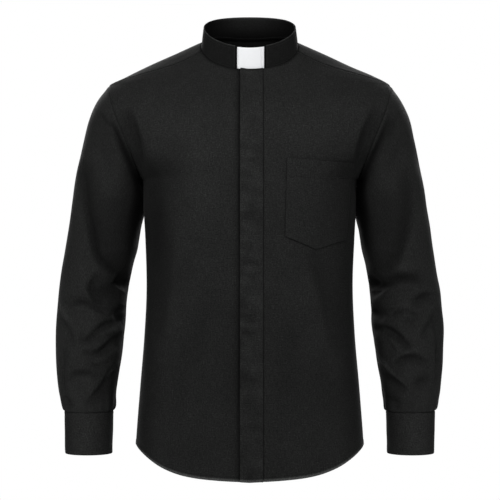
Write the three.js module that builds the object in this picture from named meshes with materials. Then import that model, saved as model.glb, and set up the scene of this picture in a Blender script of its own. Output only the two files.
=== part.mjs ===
import * as THREE from 'three';

// Clergy shirt with a tab collar, filled out as on a wearer. Millimetres, +Z up.
// The front faces -Y and the wearer's left is +X. The origin is the middle of the
// neck base, at the height where the wearer's shoulders carry the shirt.

// ---- driving dimensions ----
const clothThickness = 1.2;
const bandThickness = 1.8;
const tabThickness = 1.2;
const cuffThickness = 1.8;
const seamGap = 0.3;
const pocketGap = 0.8;

const shoulderPoint = { x: 238, z: -73 };
const underarmPoint = { x: 181, z: -232 };
const armholeHalfDepth = 77;
const armholeBow = 4;
const armholeSteps = 28;
const yokeFrontStep = 13;
const yokeBackStep = 18;
const yokeSeamBow = 14;

const neck = { halfWidth: 82, halfDepth: 53, middleY: -4, frontTurn: 77 };
const bandTop = { halfWidth: 77.6, halfDepth: 50, middleY: -6.5, side: 25, rise: 30.95, dip: 7.45 };
const bandEnds = { left: 17.4, right: 15.4 };
const tabHalfTurn = 26;

const hemSideZ = -676;
const frontHemZ = -727;
const backHemZ = -745;

const fly = { freeEdge: -15.3, seam: 22.1, underlap: 19, thickness: 1.8, drop: 1.1, lift: 1.5, fade: 60 };
const pocketTop = { innerX: 60, innerZ: -199.5, outerX: 172.5, outerZ: -207 };
const pocketFoot = { innerX: 56.5, innerZ: -328, tipX: 108, tipZ: -349, outerX: 159, outerZ: -334 };
const cuff = { height: 70, ease: 0.2, taper: 1.6, lean: 2, lapStart: 196, lap: 46, lapRise: 14, lapGap: 0.5 };
const sleevePlacket = { width: 25, length: 120, turn: 228, gap: 0.6, endRing: 13.9, ringSpacing: 36 };
const button = { radius: 5.6, thickness: 2.6, rim: 0.8, dish: 0.6, turn: 226, height: 0.5, gap: 0.6 };

// Height rows of the torso, from the hem up. halfWidth is measured at the side seam,
// front and back are the depths of the centre lines, middle is where the side lies and
// power is how square the ring is. The armholes and shoulder line take over above.
const torsoRows = [
  { z: -760, halfWidth: 197.0, front: -123, back: 127, middle: 0, power: 2.3 },
  { z: -671, halfWidth: 191.6, front: -119, back: 124, middle: 0, power: 2.3 },
  { z: -576, halfWidth: 184.2, front: -114, back: 117, middle: 0, power: 2.3 },
  { z: -495, halfWidth: 177.3, front: -110, back: 106, middle: 0, power: 2.3 },
  { z: -414, halfWidth: 173.6, front: -112, back: 102, middle: 0, power: 2.3 },
  { z: -333, halfWidth: 176.2, front: -118, back: 109, middle: 1, power: 2.35 },
  { z: -279, halfWidth: 179.2, front: -122, back: 117, middle: 3, power: 2.4 },
  { z: -232, halfWidth: 181.0, front: -121, back: 121, middle: 4, power: 2.6 },
  { z: -195, halfWidth: 190.0, front: -118, back: 121, middle: 4, power: 3.0 },
  { z: -150, halfWidth: 210.0, front: -106, back: 118, middle: 5, power: 3.2 },
  { z: -103, halfWidth: 229.0, front: -86, back: 109, middle: 6, power: 2.9 },
  { z: -73, halfWidth: 238.0, front: -71, back: 98, middle: 9, power: 2.3 },
  { z: -57, halfWidth: 211.0, front: -62, back: 92, middle: 14, power: 2.1 },
  { z: -37, halfWidth: 170.0, front: -45, back: 83, middle: 22, power: 2 },
  { z: -17, halfWidth: 128.2, front: -30, back: 72, middle: 27, power: 2 },
  { z: 0, halfWidth: 90.5, front: -14, back: 60, middle: 28, power: 2 },
  { z: 10, halfWidth: 66.0, front: -2, back: 50, middle: 28, power: 2 },
  { z: 18, halfWidth: 42.0, front: 8, back: 42, middle: 28, power: 2 },
];

// How far the hem has dropped from the side seam, by share of the girth to the centre.
const hemRows = [
  { girth: 0, drop: 1 },
  { girth: 0.191, drop: 0.94 },
  { girth: 0.301, drop: 0.885 },
  { girth: 0.395, drop: 0.804 },
  { girth: 0.495, drop: 0.67 },
  { girth: 0.577, drop: 0.535 },
  { girth: 0.664, drop: 0.373 },
  { girth: 0.756, drop: 0.214 },
  { girth: 0.809, drop: 0.138 },
  { girth: 0.918, drop: 0.025 },
  { girth: 1, drop: 0 },
];

// Sleeve rings from the armhole to the cuff: the ends next to the body and away from
// it, where the middle lies in depth, and the half depth.
const sleeveRows = [
  { ring: 0, innerX: 181.0, innerZ: -232, outerX: 238.0, outerZ: -73, middle: 5, halfDepth: 77 },
  { ring: 1, innerX: 182.2, innerZ: -244, outerX: 257.5, outerZ: -98, middle: 12, halfDepth: 76 },
  { ring: 2, innerX: 180.2, innerZ: -260, outerX: 270.2, outerZ: -124, middle: 22, halfDepth: 75 },
  { ring: 3, innerX: 178.8, innerZ: -278, outerX: 280.0, outerZ: -157, middle: 31, halfDepth: 74 },
  { ring: 4, innerX: 184.5, innerZ: -306, outerX: 292.8, outerZ: -215, middle: 35, halfDepth: 73 },
  { ring: 5, innerX: 190.3, innerZ: -338, outerX: 303.6, outerZ: -281, middle: 36, halfDepth: 71 },
  { ring: 6, innerX: 198.0, innerZ: -373, outerX: 313.4, outerZ: -347, middle: 35, halfDepth: 69 },
  { ring: 7, innerX: 205.2, innerZ: -410, outerX: 320.2, outerZ: -390, middle: 31, halfDepth: 66 },
  { ring: 8, innerX: 208.8, innerZ: -441, outerX: 325.0, outerZ: -428, middle: 25, halfDepth: 64 },
  { ring: 9, innerX: 209.7, innerZ: -475, outerX: 327.7, outerZ: -470, middle: 16, halfDepth: 62 },
  { ring: 10, innerX: 212.8, innerZ: -510, outerX: 327.2, outerZ: -510, middle: 6, halfDepth: 60 },
  { ring: 11, innerX: 218.3, innerZ: -548, outerX: 325.7, outerZ: -546, middle: -4, halfDepth: 57 },
  { ring: 12, innerX: 222.9, innerZ: -582, outerX: 320.9, outerZ: -583, middle: -13, halfDepth: 52 },
  { ring: 13, innerX: 225.6, innerZ: -606, outerX: 315.5, outerZ: -606, middle: -19, halfDepth: 46 },
  { ring: 14, innerX: 228.6, innerZ: -619.6, outerX: 310.6, outerZ: -619.6, middle: -22, halfDepth: 40 },
];

// Largest folds, seen from the front or the back: three points of each fold's path,
// its width and how deep it presses in (a negative depth stands out).
const bodyFolds = [
  { face: 'front', x: [-206, -193, -183], z: [-122, -165, -208], width: 13, depth: 3.5 },
  { face: 'front', x: [206, 192, 184], z: [-122, -158, -195], width: 13, depth: 3.5 },
  { face: 'front', x: [-150, -139, -148], z: [-205, -330, -480], width: 24, depth: 5 },
  { face: 'front', x: [-168, -166, -172], z: [-250, -380, -520], width: 16, depth: -2 },
  { face: 'front', x: [82, 112, 138], z: [-385, -450, -530], width: 22, depth: 4 },
  { face: 'front', x: [-60, -92, -120], z: [-400, -480, -590], width: 26, depth: 3 },
  { face: 'back', x: [-172, -120, -70], z: [-215, -300, -360], width: 22, depth: 5 },
  { face: 'back', x: [170, 128, 84], z: [-225, -310, -390], width: 22, depth: 5 },
  { face: 'back', x: [-96, -84, -98], z: [-390, -500, -640], width: 26, depth: 5 },
  { face: 'back', x: [70, 84, 72], z: [-420, -520, -620], width: 24, depth: 4 },
  { face: 'back', x: [-20, 6, -8], z: [-160, -260, -350], width: 28, depth: -4 },
];
const rightSleeveFolds = [
  { face: 'front', x: [-260, -270, -250], z: [-190, -270, -362], width: 14, depth: 5 },
  { face: 'front', x: [-250, -230, -208], z: [-362, -386, -398], width: 13, depth: 7 },
  { face: 'front', x: [-228, -216, -205], z: [-398, -412, -420], width: 13, depth: 7 },
  { face: 'front', x: [-304, -276, -240], z: [-446, -440, -458], width: 12, depth: 5 },
  { face: 'front', x: [-274, -248, -214], z: [-521, -510, -490], width: 13, depth: 6 },
  { face: 'front', x: [-298, -278, -252], z: [-566, -556, -567], width: 11, depth: 4 },
  { face: 'back', x: [-206, -240, -280], z: [-418, -405, -440], width: 14, depth: 6 },
  { face: 'back', x: [-214, -250, -300], z: [-480, -500, -488], width: 13, depth: 5 },
  { face: 'back', x: [-262, -276, -270], z: [-170, -250, -330], width: 16, depth: 5 },
  { face: 'back', x: [-300, -284, -262], z: [-345, -372, -384], width: 14, depth: 5 },
];
const leftSleeveFolds = [
  { face: 'front', x: [268, 262, 250], z: [-265, -320, -360], width: 14, depth: 5 },
  { face: 'front', x: [252, 232, 204], z: [-358, -378, -374], width: 13, depth: 6 },
  { face: 'front', x: [222, 262, 296], z: [-420, -400, -410], width: 13, depth: 7 },
  { face: 'front', x: [206, 214, 224], z: [-400, -412, -455], width: 13, depth: 7 },
  { face: 'front', x: [214, 238, 264], z: [-482, -487, -507], width: 12, depth: 5 },
  { face: 'front', x: [258, 278, 304], z: [-533, -529, -538], width: 12, depth: 5 },
  { face: 'front', x: [236, 250, 264], z: [-542, -560, -578], width: 12, depth: 4 },
  { face: 'back', x: [206, 244, 292], z: [-408, -396, -424], width: 14, depth: 6 },
  { face: 'back', x: [216, 252, 296], z: [-500, -482, -494], width: 13, depth: 5 },
  { face: 'back', x: [266, 272, 258], z: [-180, -260, -335], width: 16, depth: 5 },
  { face: 'back', x: [304, 280, 258], z: [-350, -364, -350], width: 14, depth: 5 },
];

const fabricBlack = { color: 0x232323, roughness: 0.92, metalness: 0 };
const tabWhite = { color: 0xf0f1f3, roughness: 0.45, metalness: 0 };
const buttonBlack = { color: 0x141414, roughness: 0.3, metalness: 0 };

// How finely the pieces are stepped.
const sideRows = 16;
const neckColumns = 5;
const neckBackColumns = 7;
const yokeColumns = 7;
const backColumns = 20;
const sleeveSteps = 26;
const lastRing = sleeveRows.length - 1;

// ---- small helpers ----
const toRadians = (degrees) => (degrees * Math.PI) / 180;
const mix = (a, b, share) => a + (b - a) * share;
const clamp01 = (value) => Math.min(1, Math.max(0, value));
const smooth = (value) => clamp01(value) ** 2 * (3 - 2 * clamp01(value));
const steps = (count) => Array.from({ length: count + 1 }, (_, i) => i / count);
const moved = (point, direction, distance) => point.clone().addScaledVector(direction, distance);

// A smooth value between the rows of a table, which rise along the position column.
function tableValue(rows, position, column, at) {
  const last = rows.length - 2;
  let i = rows.findIndex((row) => row[position] > at) - 1;
  if (i < 0) i = at < rows[0][position] ? 0 : last;
  const slope = (a, b) => (rows[b][column] - rows[a][column]) / (rows[b][position] - rows[a][position]);
  const own = slope(i, i + 1);
  const before = i > 0 ? (slope(i - 1, i) + own) / 2 : own;
  const after = i < last ? (slope(i + 1, i + 2) + own) / 2 : own;
  const span = rows[i + 1][position] - rows[i][position];
  const t = clamp01((at - rows[i][position]) / span);
  const start = rows[i][column] * (1 + 2 * t) * (1 - t) ** 2 + before * span * t * (1 - t) ** 2;
  const end = rows[i + 1][column] * t * t * (3 - 2 * t) - after * span * t * t * (1 - t);
  return start + end;
}

// How far the folds of one face press the cloth in at a place seen from that face.
function foldDepth(folds, face, x, z) {
  let depth = 0;
  for (const fold of folds) {
    if (fold.face !== face) continue;
    let nearest = Infinity;
    let along = 0;
    for (const t of steps(16)) {
      const foldX = mix(mix(fold.x[0], fold.x[1], t), mix(fold.x[1], fold.x[2], t), t);
      const foldZ = mix(mix(fold.z[0], fold.z[1], t), mix(fold.z[1], fold.z[2], t), t);
      const distance = Math.hypot(x - foldX, z - foldZ);
      if (distance < nearest) {
        nearest = distance;
        along = t;
      }
    }
    const ends = 0.25 + 0.75 * Math.sin(Math.PI * along);
    depth += fold.depth * ends * Math.exp(-((nearest / fold.width) ** 2));
  }
  return depth;
}

// ---- torso form ----
const torsoValue = (column, z) => tableValue(torsoRows, 'z', column, z);

// A point of the armhole seam on the wearer's left: 0 and 28 under the arm, 14 on the
// shoulder, and the front half between.
function armholePoint(step) {
  const turn = (2 * Math.PI * step) / armholeSteps;
  const along = (1 - Math.cos(turn)) / 2;
  const z = mix(underarmPoint.z, shoulderPoint.z, along);
  const x = mix(underarmPoint.x, shoulderPoint.x, along) + armholeBow * Math.sin(Math.PI * along * along);
  return new THREE.Vector3(x, torsoValue('middle', z) - armholeHalfDepth * Math.sin(turn), z);
}

// The half width that a whole ring would have, so that it runs through the armhole seam.
function ringHalfWidth(z, isFront) {
  if (z <= underarmPoint.z || z >= shoulderPoint.z) return torsoValue('halfWidth', z);
  const along = (z - underarmPoint.z) / (shoulderPoint.z - underarmPoint.z);
  const seam = armholePoint((Math.acos(1 - 2 * along) / (2 * Math.PI)) * armholeSteps);
  const reach = Math.abs(seam.y - torsoValue('middle', z)) / ringDepth(z, isFront);
  const power = torsoValue('power', z);
  return seam.x / (1 - reach ** power) ** (1 / power);
}

function ringDepth(z, isFront) {
  return Math.abs(torsoValue(isFront ? 'front' : 'back', z) - torsoValue('middle', z));
}

function torsoY(x, z, isFront) {
  const power = torsoValue('power', z);
  const reach = Math.min(1, Math.abs(x) / ringHalfWidth(z, isFront));
  const depth = ringDepth(z, isFront) * (1 - reach ** power) ** (1 / power);
  return torsoValue('middle', z) + (isFront ? -depth : depth);
}

// Below 1 inside the torso, 1 on its cloth.
function torsoReach(x, y, z) {
  const isFront = y < torsoValue('middle', z);
  const power = torsoValue('power', z);
  const sideways = (Math.abs(x) / ringHalfWidth(z, isFront)) ** power;
  return sideways + (Math.abs(y - torsoValue('middle', z)) / ringDepth(z, isFront)) ** power;
}

function torsoHeight(x, y) {
  let low = -300;
  let high = 18;
  for (let i = 0; i < 40; i += 1) {
    const z = (low + high) / 2;
    if (torsoReach(x, y, z) < 1) low = z;
    else high = z;
  }
  return (low + high) / 2;
}

function torsoNormal(point) {
  const { x, y, z } = point;
  const reach = 0.5;
  return new THREE.Vector3(
    torsoReach(x + reach, y, z) - torsoReach(x - reach, y, z),
    torsoReach(x, y + reach, z) - torsoReach(x, y - reach, z),
    torsoReach(x, y, z + reach) - torsoReach(x, y, z - reach),
  ).normalize();
}

function onTorso(x, y) {
  return new THREE.Vector3(x, y, torsoHeight(x, y));
}

// The neck seam, by degrees round the neck from the centre front.
function neckPoint(degrees) {
  const turn = toRadians(degrees);
  const y = neck.middleY - neck.halfDepth * Math.cos(turn);
  return onTorso(neck.halfWidth * Math.sin(turn), y);
}

// The front yoke seam on the wearer's left, from the neck (0) to the armhole (1).
function yokeSeamPoint(share) {
  const start = neckPoint(neck.frontTurn);
  const end = armholePoint(yokeFrontStep);
  if (share === 0) return start;
  if (share === 1) return end;
  const bow = yokeSeamBow * 4 * share * (1 - share);
  return onTorso(mix(start.x, end.x, share), mix(start.y, end.y, share) - bow);
}

const mirrored = (point, side) => new THREE.Vector3(side * point.x, point.y, point.z);

// ---- walls ----
// A closed wall from two grids of points with the same rows, shut along its edges.
function wallGeometry(outer, inner, isTube) {
  const rows = outer.length;
  const columns = outer[0].length;
  const positions = [...outer.flat(), ...inner.flat()].flatMap((point) => point.toArray());
  const index = [];
  const at = (layer, row, column) => layer * rows * columns + row * columns + (column % columns);
  const quad = (a, b, c, d) => index.push(a, b, c, a, c, d);
  const spans = isTube ? columns : columns - 1;
  for (let row = 0; row < rows - 1; row += 1) {
    for (let column = 0; column < spans; column += 1) {
      quad(at(0, row, column), at(0, row, column + 1), at(0, row + 1, column + 1), at(0, row + 1, column));
      quad(at(1, row, column), at(1, row + 1, column), at(1, row + 1, column + 1), at(1, row, column + 1));
    }
  }
  for (let column = 0; column < spans; column += 1) {
    const end = rows - 1;
    quad(at(0, 0, column), at(1, 0, column), at(1, 0, column + 1), at(0, 0, column + 1));
    quad(at(0, end, column), at(0, end, column + 1), at(1, end, column + 1), at(1, end, column));
  }
  for (let row = 0; row < rows - 1 && !isTube; row += 1) {
    const end = columns - 1;
    quad(at(0, row, 0), at(0, row + 1, 0), at(1, row + 1, 0), at(1, row, 0));
    quad(at(0, row, end), at(1, row, end), at(1, row + 1, end), at(0, row + 1, end));
  }
  const geometry = new THREE.BufferGeometry();
  geometry.setAttribute('position', new THREE.Float32BufferAttribute(positions, 3));
  geometry.setIndex(signedVolume(positions, index) < 0 ? index.reverse() : index);
  geometry.computeVertexNormals();
  return geometry;
}

function signedVolume(positions, index) {
  const corner = (i) => new THREE.Vector3().fromArray(positions, 3 * index[i]);
  let volume = 0;
  for (let i = 0; i < index.length; i += 3) {
    volume += corner(i).dot(corner(i + 1).cross(corner(i + 2)));
  }
  return volume;
}

// Draws the edges of a grid in by half the seam gap, towards the next row or column.
function trimmed(grid, edges) {
  const drawIn = (from, to) => from.clone().add(to.clone().sub(from).setLength(seamGap / 2));
  const rows = grid.map((row) => row.map((point) => point.clone()));
  const lastRow = rows.length - 1;
  const lastColumn = rows[0].length - 1;
  rows.forEach((row) => {
    if (edges.includes('start')) row[0] = drawIn(row[0], row[1]);
    if (edges.includes('end')) row[lastColumn] = drawIn(row[lastColumn], row[lastColumn - 1]);
  });
  rows[0].forEach((point, i) => {
    if (edges.includes('first')) rows[0][i] = drawIn(point, rows[1][i]);
    if (edges.includes('last')) rows[lastRow][i] = drawIn(rows[lastRow][i], rows[lastRow - 1][i]);
  });
  return rows;
}

// The wall of a torso panel: its folds press it along the torso's own normal.
function torsoWall(grid, level, thickness, trims) {
  const placed = (point, depth) => moved(point, torsoNormal(point), depth);
  const level0 = (point) => (typeof level === 'function' ? level(point) : level);
  const edged = trimmed(grid, trims);
  const outer = edged.map((row) => row.map((point) => placed(point, level0(point))));
  const inner = edged.map((row) => row.map((point) => placed(point, level0(point) - thickness)));
  return wallGeometry(outer, inner, false);
}

// Folds of the body fade out at the side seams, the armholes and the yoke.
function bodyLevel(point) {
  const isFront = point.y < torsoValue('middle', point.z);
  const fromSide = Math.abs(point.y - torsoValue('middle', point.z)) / 40;
  const below = (-95 - point.z) / 40;
  const limit = point.z > underarmPoint.z ? armholeEdge(point.z, isFront) : Infinity;
  const fromArmhole = (limit - Math.abs(point.x)) / 12;
  const fade = smooth(fromSide) * smooth(below) * smooth(fromArmhole);
  return -fade * foldDepth(bodyFolds, isFront ? 'front' : 'back', point.x, point.z);
}

function armholeEdge(z) {
  const along = clamp01((z - underarmPoint.z) / (shoulderPoint.z - underarmPoint.z));
  return armholePoint((Math.acos(1 - 2 * along) / (2 * Math.PI)) * armholeSteps).x;
}

// The left front rises to the level of the fly that it is sewn to.
function leftFrontLevel(point) {
  const fade = smooth((point.x - fly.seam) / fly.fade);
  return bodyLevel(point) + fly.lift * (1 - fade);
}

// ---- panels ----
function hemZ(share, isFront) {
  const drop = tableValue(hemRows, 'girth', 'drop', share);
  return mix(hemSideZ, isFront ? frontHemZ : backHemZ, drop);
}

// The share of a half girth that lies between the centre line and a place beside it.
function girthShare(x) {
  return (2 / Math.PI) * Math.asin(Math.min(1, Math.abs(x) / torsoValue('halfWidth', hemSideZ)));
}

// One front, from its centre edge to the side seam and armhole. Rows run from the hem
// to the neck and yoke seams.
function frontGrid(side, edgeX, neckSteps) {
  const startTurn = (Math.asin((side * edgeX) / neck.halfWidth) * 180) / Math.PI;
  const neckTurns = steps(neckSteps).map((t) => mix(startTurn, neck.frontTurn, t));
  const topEdge = neckTurns.map((turn) => mirrored(neckPoint(turn), side));
  for (const share of steps(yokeColumns).slice(1)) topEdge.push(mirrored(yokeSeamPoint(share), side));
  const shares = steps(topEdge.length - 1);
  const grid = [];
  const sideX = (share, z) => mix(edgeX, side * torsoValue('halfWidth', z), Math.sin((share * Math.PI) / 2));
  for (const height of steps(sideRows)) {
    grid.push(shares.map((share) => {
      const hemX = sideX(share, hemSideZ);
      const z = mix(hemZ(girthShare(hemX), true), underarmPoint.z, height);
      const isSeam = share === 1;
      const x = sideX(share, z);
      return new THREE.Vector3(x, isSeam ? torsoValue('middle', z) : torsoY(x, z, true), z);
    }));
  }
  const seam = armholePoint(0);
  for (let step = 1; step <= yokeFrontStep; step += 1) {
    const height = step / yokeFrontStep;
    const edge = mirrored(armholePoint(step), side);
    const lastTop = topEdge[topEdge.length - 1];
    grid.push(shares.map((share, i) => {
      if (share === 1) return edge;
      if (height === 1) return topEdge[i];
      const shiftX = edge.x - mix(side * seam.x, lastTop.x, height);
      const shiftZ = edge.z - mix(seam.z, lastTop.z, height);
      const x = mix(sideX(share, underarmPoint.z), topEdge[i].x, height) + shiftX * share;
      const z = mix(underarmPoint.z, topEdge[i].z, height) + shiftZ * share;
      return new THREE.Vector3(x, torsoY(x, z, true), z);
    }));
  }
  return grid;
}

// The back below the yoke, from side seam to side seam.
function backGrid() {
  const grid = [];
  const rowAt = (halfWidth, heightAt, edge) => steps(backColumns).map((t) => {
    const share = Math.abs(2 * t - 1);
    const side = Math.sign(2 * t - 1);
    const z = heightAt(share);
    const x = side * halfWidth(z) * Math.sin((share * Math.PI) / 2);
    if (share === 1) return mirrored(edge(z), side);
    return new THREE.Vector3(x, torsoY(x, z, false), z);
  });
  const seamAt = (z) => new THREE.Vector3(torsoValue('halfWidth', z), torsoValue('middle', z), z);
  for (const height of steps(sideRows)) {
    const heightAt = (share) => mix(hemZ(share, false), underarmPoint.z, height);
    grid.push(rowAt((z) => torsoValue('halfWidth', z), heightAt, seamAt));
  }
  for (let step = armholeSteps - 1; step >= yokeBackStep; step -= 1) {
    const edge = armholePoint(step);
    grid.push(rowAt(() => edge.x, () => edge.z, () => edge));
  }
  return grid;
}

// The yoke over both shoulders, from the front seams and the neck to the back seam.
function yokeGrid() {
  const half = [];
  for (const share of steps(yokeColumns).reverse()) half.push(yokeSeamPoint(share));
  for (const share of steps(neckBackColumns).slice(1)) half.push(neckPoint(mix(neck.frontTurn, 180, share)));
  const start = [...half.map((point) => mirrored(point, -1)), ...half.slice(0, -1).reverse()];
  const backSeam = backGrid().at(-1);
  const widths = steps(start.length - 1);
  const rows = yokeBackStep - yokeFrontStep;
  return steps(rows).map((height, row) => widths.map((width, column) => {
    const seamTurn = Math.sin(((width * 2 - 1) * Math.PI) / 2);
    const reach = seamTurn * backSeam.at(-1).x;
    const end = new THREE.Vector3(reach, torsoY(reach, backSeam[0].z, false), backSeam[0].z);
    const edge = armholePoint(yokeFrontStep + row);
    if (width === 0 || width === 1) return mirrored(edge, width === 0 ? -1 : 1);
    if (row === 0) return start[column];
    if (row === rows) return end;
    const shareOut = Math.abs(width * 2 - 1) ** 3;
    const side = Math.sign(width - 0.5);
    const shiftX = (edge.x - mix(start.at(-1).x, backSeam.at(-1).x, height)) * shareOut * side;
    const shiftY = (edge.y - mix(start.at(-1).y, backSeam.at(-1).y, height)) * shareOut;
    const x = mix(start[column].x, end.x, height) + shiftX;
    const y = mix(start[column].y, end.y, height) + shiftY;
    return onTorso(x, y);
  }));
}

// The fly lies on the right front's underlap, made from the front's own points.
function flyWall() {
  const columns = steps(3);
  const xAt = (share) => mix(fly.freeEdge, fly.seam, share);
  const heights = [...steps(sideRows), ...steps(yokeFrontStep).slice(1).map((t) => 1 + t)];
  const grid = heights.map((height) => columns.map((share) => {
    const x = xAt(share);
    const hem = hemZ(girthShare(x), true) - fly.drop;
    const top = neckPoint((Math.asin(x / neck.halfWidth) * 180) / Math.PI).z - seamGap;
    const z = height <= 1 ? mix(hem, underarmPoint.z, height) : mix(underarmPoint.z, top, height - 1);
    return new THREE.Vector3(x, torsoY(x, z, true), z);
  }));
  const level = (point) => Math.max(0, bodyLevel(point)) + seamGap + fly.thickness;
  return torsoWall(grid, level, fly.thickness, []);
}

// The chest pocket lies on the left front.
function pocketWall() {
  const across = steps(14);
  const down = steps(12);
  const grid = down.map((height) => across.map((share) => {
    const topX = mix(pocketTop.innerX, pocketTop.outerX, share);
    const topZ = mix(pocketTop.innerZ, pocketTop.outerZ, share);
    const toTip = share <= 0.5 ? share * 2 : 2 - share * 2;
    const cornerX = share <= 0.5 ? pocketFoot.innerX : pocketFoot.outerX;
    const cornerZ = share <= 0.5 ? pocketFoot.innerZ : pocketFoot.outerZ;
    const x = mix(topX, mix(cornerX, pocketFoot.tipX, toTip), height);
    const z = mix(topZ, mix(cornerZ, pocketFoot.tipZ, toTip), height);
    return new THREE.Vector3(x, torsoY(x, z, true), z);
  }));
  const level = (point) => leftFrontLevel(point) + pocketGap + clothThickness;
  return torsoWall(grid, level, clothThickness, []);
}

// ---- collar ----
function bandTopPoint(degrees) {
  const turn = toRadians(degrees);
  const cosine = Math.cos(turn);
  const z = bandTop.side - bandTop.rise * cosine - bandTop.dip * cosine * cosine;
  const y = bandTop.middleY - bandTop.halfDepth * cosine;
  return new THREE.Vector3(bandTop.halfWidth * Math.sin(turn), y, z);
}

// A point of the stand collar: height 0 at the neck seam, 1 at the top edge.
function bandPoint(degrees, height) {
  const low = neckPoint(degrees).add(new THREE.Vector3(0, 0, seamGap));
  return low.lerp(bandTopPoint(degrees), height);
}

function bandInward(degrees) {
  const turn = toRadians(degrees);
  return new THREE.Vector3(-Math.sin(turn) / neck.halfWidth, Math.cos(turn) / neck.halfDepth, 0).normalize();
}

function bandWall(turns, heights, level, thickness) {
  const placed = (turn, height, depth) => moved(bandPoint(turn, height), bandInward(turn), depth);
  const outer = heights.map((height) => turns.map((turn) => placed(turn, height, level)));
  const inner = heights.map((height) => turns.map((turn) => placed(turn, height, level + thickness)));
  return wallGeometry(outer, inner, false);
}

function collarTurns() {
  const back = steps(neckBackColumns).slice(1).map((t) => mix(neck.frontTurn, 180, t));
  const half = (end) => [...steps(neckColumns).map((t) => mix(end, neck.frontTurn, t)), ...back];
  return [...half(bandEnds.left), ...half(bandEnds.right).slice(0, -1).reverse().map((turn) => 360 - turn)];
}

// ---- sleeves ----
const sleeveValue = (column, ring) => tableValue(sleeveRows, 'ring', column, ring);

function sleeveRing(ring, step) {
  const turn = (2 * Math.PI * step) / armholeSteps;
  const away = (1 - Math.cos(turn)) / 2;
  const x = mix(sleeveValue('innerX', ring), sleeveValue('outerX', ring), away);
  const z = mix(sleeveValue('innerZ', ring), sleeveValue('outerZ', ring), away);
  const y = sleeveValue('middle', ring) - sleeveValue('halfDepth', ring) * Math.sin(turn);
  return new THREE.Vector3(x, y, z);
}

// The sleeve leaves the armhole seam and turns into plain rings within two of them.
function sleevePoint(ring, step) {
  const settled = smooth(ring / 2);
  const fromSeam = armholePoint(step).sub(sleeveRing(0, step));
  return sleeveRing(ring, step).addScaledVector(fromSeam, 1 - settled);
}

function sleeveNormal(ring, step) {
  const reach = 0.05;
  const below = sleevePoint(Math.min(lastRing, ring + reach), step);
  const along = below.sub(sleevePoint(Math.max(0, ring - reach), step));
  const round = sleevePoint(ring, step + reach).sub(sleevePoint(ring, step - reach));
  return along.cross(round).normalize();
}

// The first ring stands just clear of the cut edge of the body's cloth.
function seamShift(step) {
  const edge = armholePoint(step);
  const body = torsoNormal(edge);
  const along = armholePoint(step + 0.05).sub(armholePoint(step - 0.05)).normalize();
  const outward = new THREE.Vector3().crossVectors(along, body).normalize();
  if (outward.dot(new THREE.Vector3(1, 0, 0.6)) < 0) outward.negate();
  const likeness = body.dot(sleeveNormal(0, step));
  return outward.multiplyScalar(1 + likeness).addScaledVector(body, 1 - likeness).setLength(seamGap + 0.1);
}

function sleeveWall(side, folds) {
  const body = (step) => torsoNormal(armholePoint(step));
  const rings = steps(sleeveSteps).map((t) => lastRing * t);
  const face = (step) => (step < armholeSteps / 2 ? 'front' : 'back');
  const layer = (thickness) => rings.map((ring) => steps(armholeSteps).slice(0, -1).map((share) => {
    const step = share * armholeSteps;
    const point = sleevePoint(ring, step);
    const normal = sleeveNormal(ring, step);
    const isSeam = ring === 0;
    if (isSeam) point.add(seamShift(step));
    const facing = Math.abs(Math.sin((2 * Math.PI * step) / armholeSteps));
    const ends = smooth(ring / 2) * smooth((lastRing - 0.2 - ring) / 1.5);
    const press = ends * smooth((facing + 0.1) / 0.5) * foldDepth(folds, face(step), side * point.x, point.z);
    const miter = isSeam && body(step).dot(normal) > 0.5 ? body(step).add(normal).normalize() : normal;
    return mirrored(moved(point, miter, -press - thickness), side);
  }));
  return wallGeometry(layer(0), layer(clothThickness), true);
}

// The narrow facing of the sleeve's slit, on the back of the sleeve above the cuff.
function sleevePlacketWall(side) {
  const rings = sleevePlacket.length / sleevePlacket.ringSpacing;
  const grid = steps(8).map((height) => steps(2).map((across) => {
    const ring = sleevePlacket.endRing - rings * height;
    const girth = 6.2 * sleeveValue('halfDepth', ring);
    const turn = sleevePlacket.turn + ((across - 0.5) * 360 * sleevePlacket.width) / girth;
    return { ring, step: (turn / 360) * armholeSteps };
  }));
  const layer = (depth) => grid.map((row) => row.map(({ ring, step }) => (
    mirrored(moved(sleevePoint(ring, step), sleeveNormal(ring, step), depth), side)
  )));
  return wallGeometry(layer(sleevePlacket.gap + clothThickness), layer(sleevePlacket.gap), false);
}

// ---- cuffs ----
// A band that laps over its own end at the back, by degrees round the wrist.
function cuffPoint(degrees, height, level) {
  const turn = toRadians(degrees);
  const end = sleeveRows.at(-1);
  const halfWidth = (end.outerX - end.innerX) / 2 + cuff.ease - cuff.taper * height + level;
  const halfDepth = end.halfDepth + cuff.ease - cuff.taper * height + level;
  const x = (end.outerX + end.innerX) / 2 - halfWidth * Math.cos(turn);
  const y = end.middle - cuff.lean * height - halfDepth * Math.sin(turn);
  return new THREE.Vector3(x, y, end.outerZ - seamGap - cuff.height * height);
}

function cuffLevel(degrees) {
  const lapped = degrees - cuff.lapStart - 360 + cuff.lapRise;
  return smooth(lapped / cuff.lapRise) * (cuffThickness + cuff.lapGap);
}

function cuffWall(side) {
  const turns = steps(32).map((t) => cuff.lapStart + (360 + cuff.lap) * t);
  const layer = (depth) => steps(3).map((height) => turns.map((turn) => (
    mirrored(cuffPoint(turn, height, cuffLevel(turn) - depth), side)
  )));
  return wallGeometry(layer(0), layer(cuffThickness), false);
}

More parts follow.
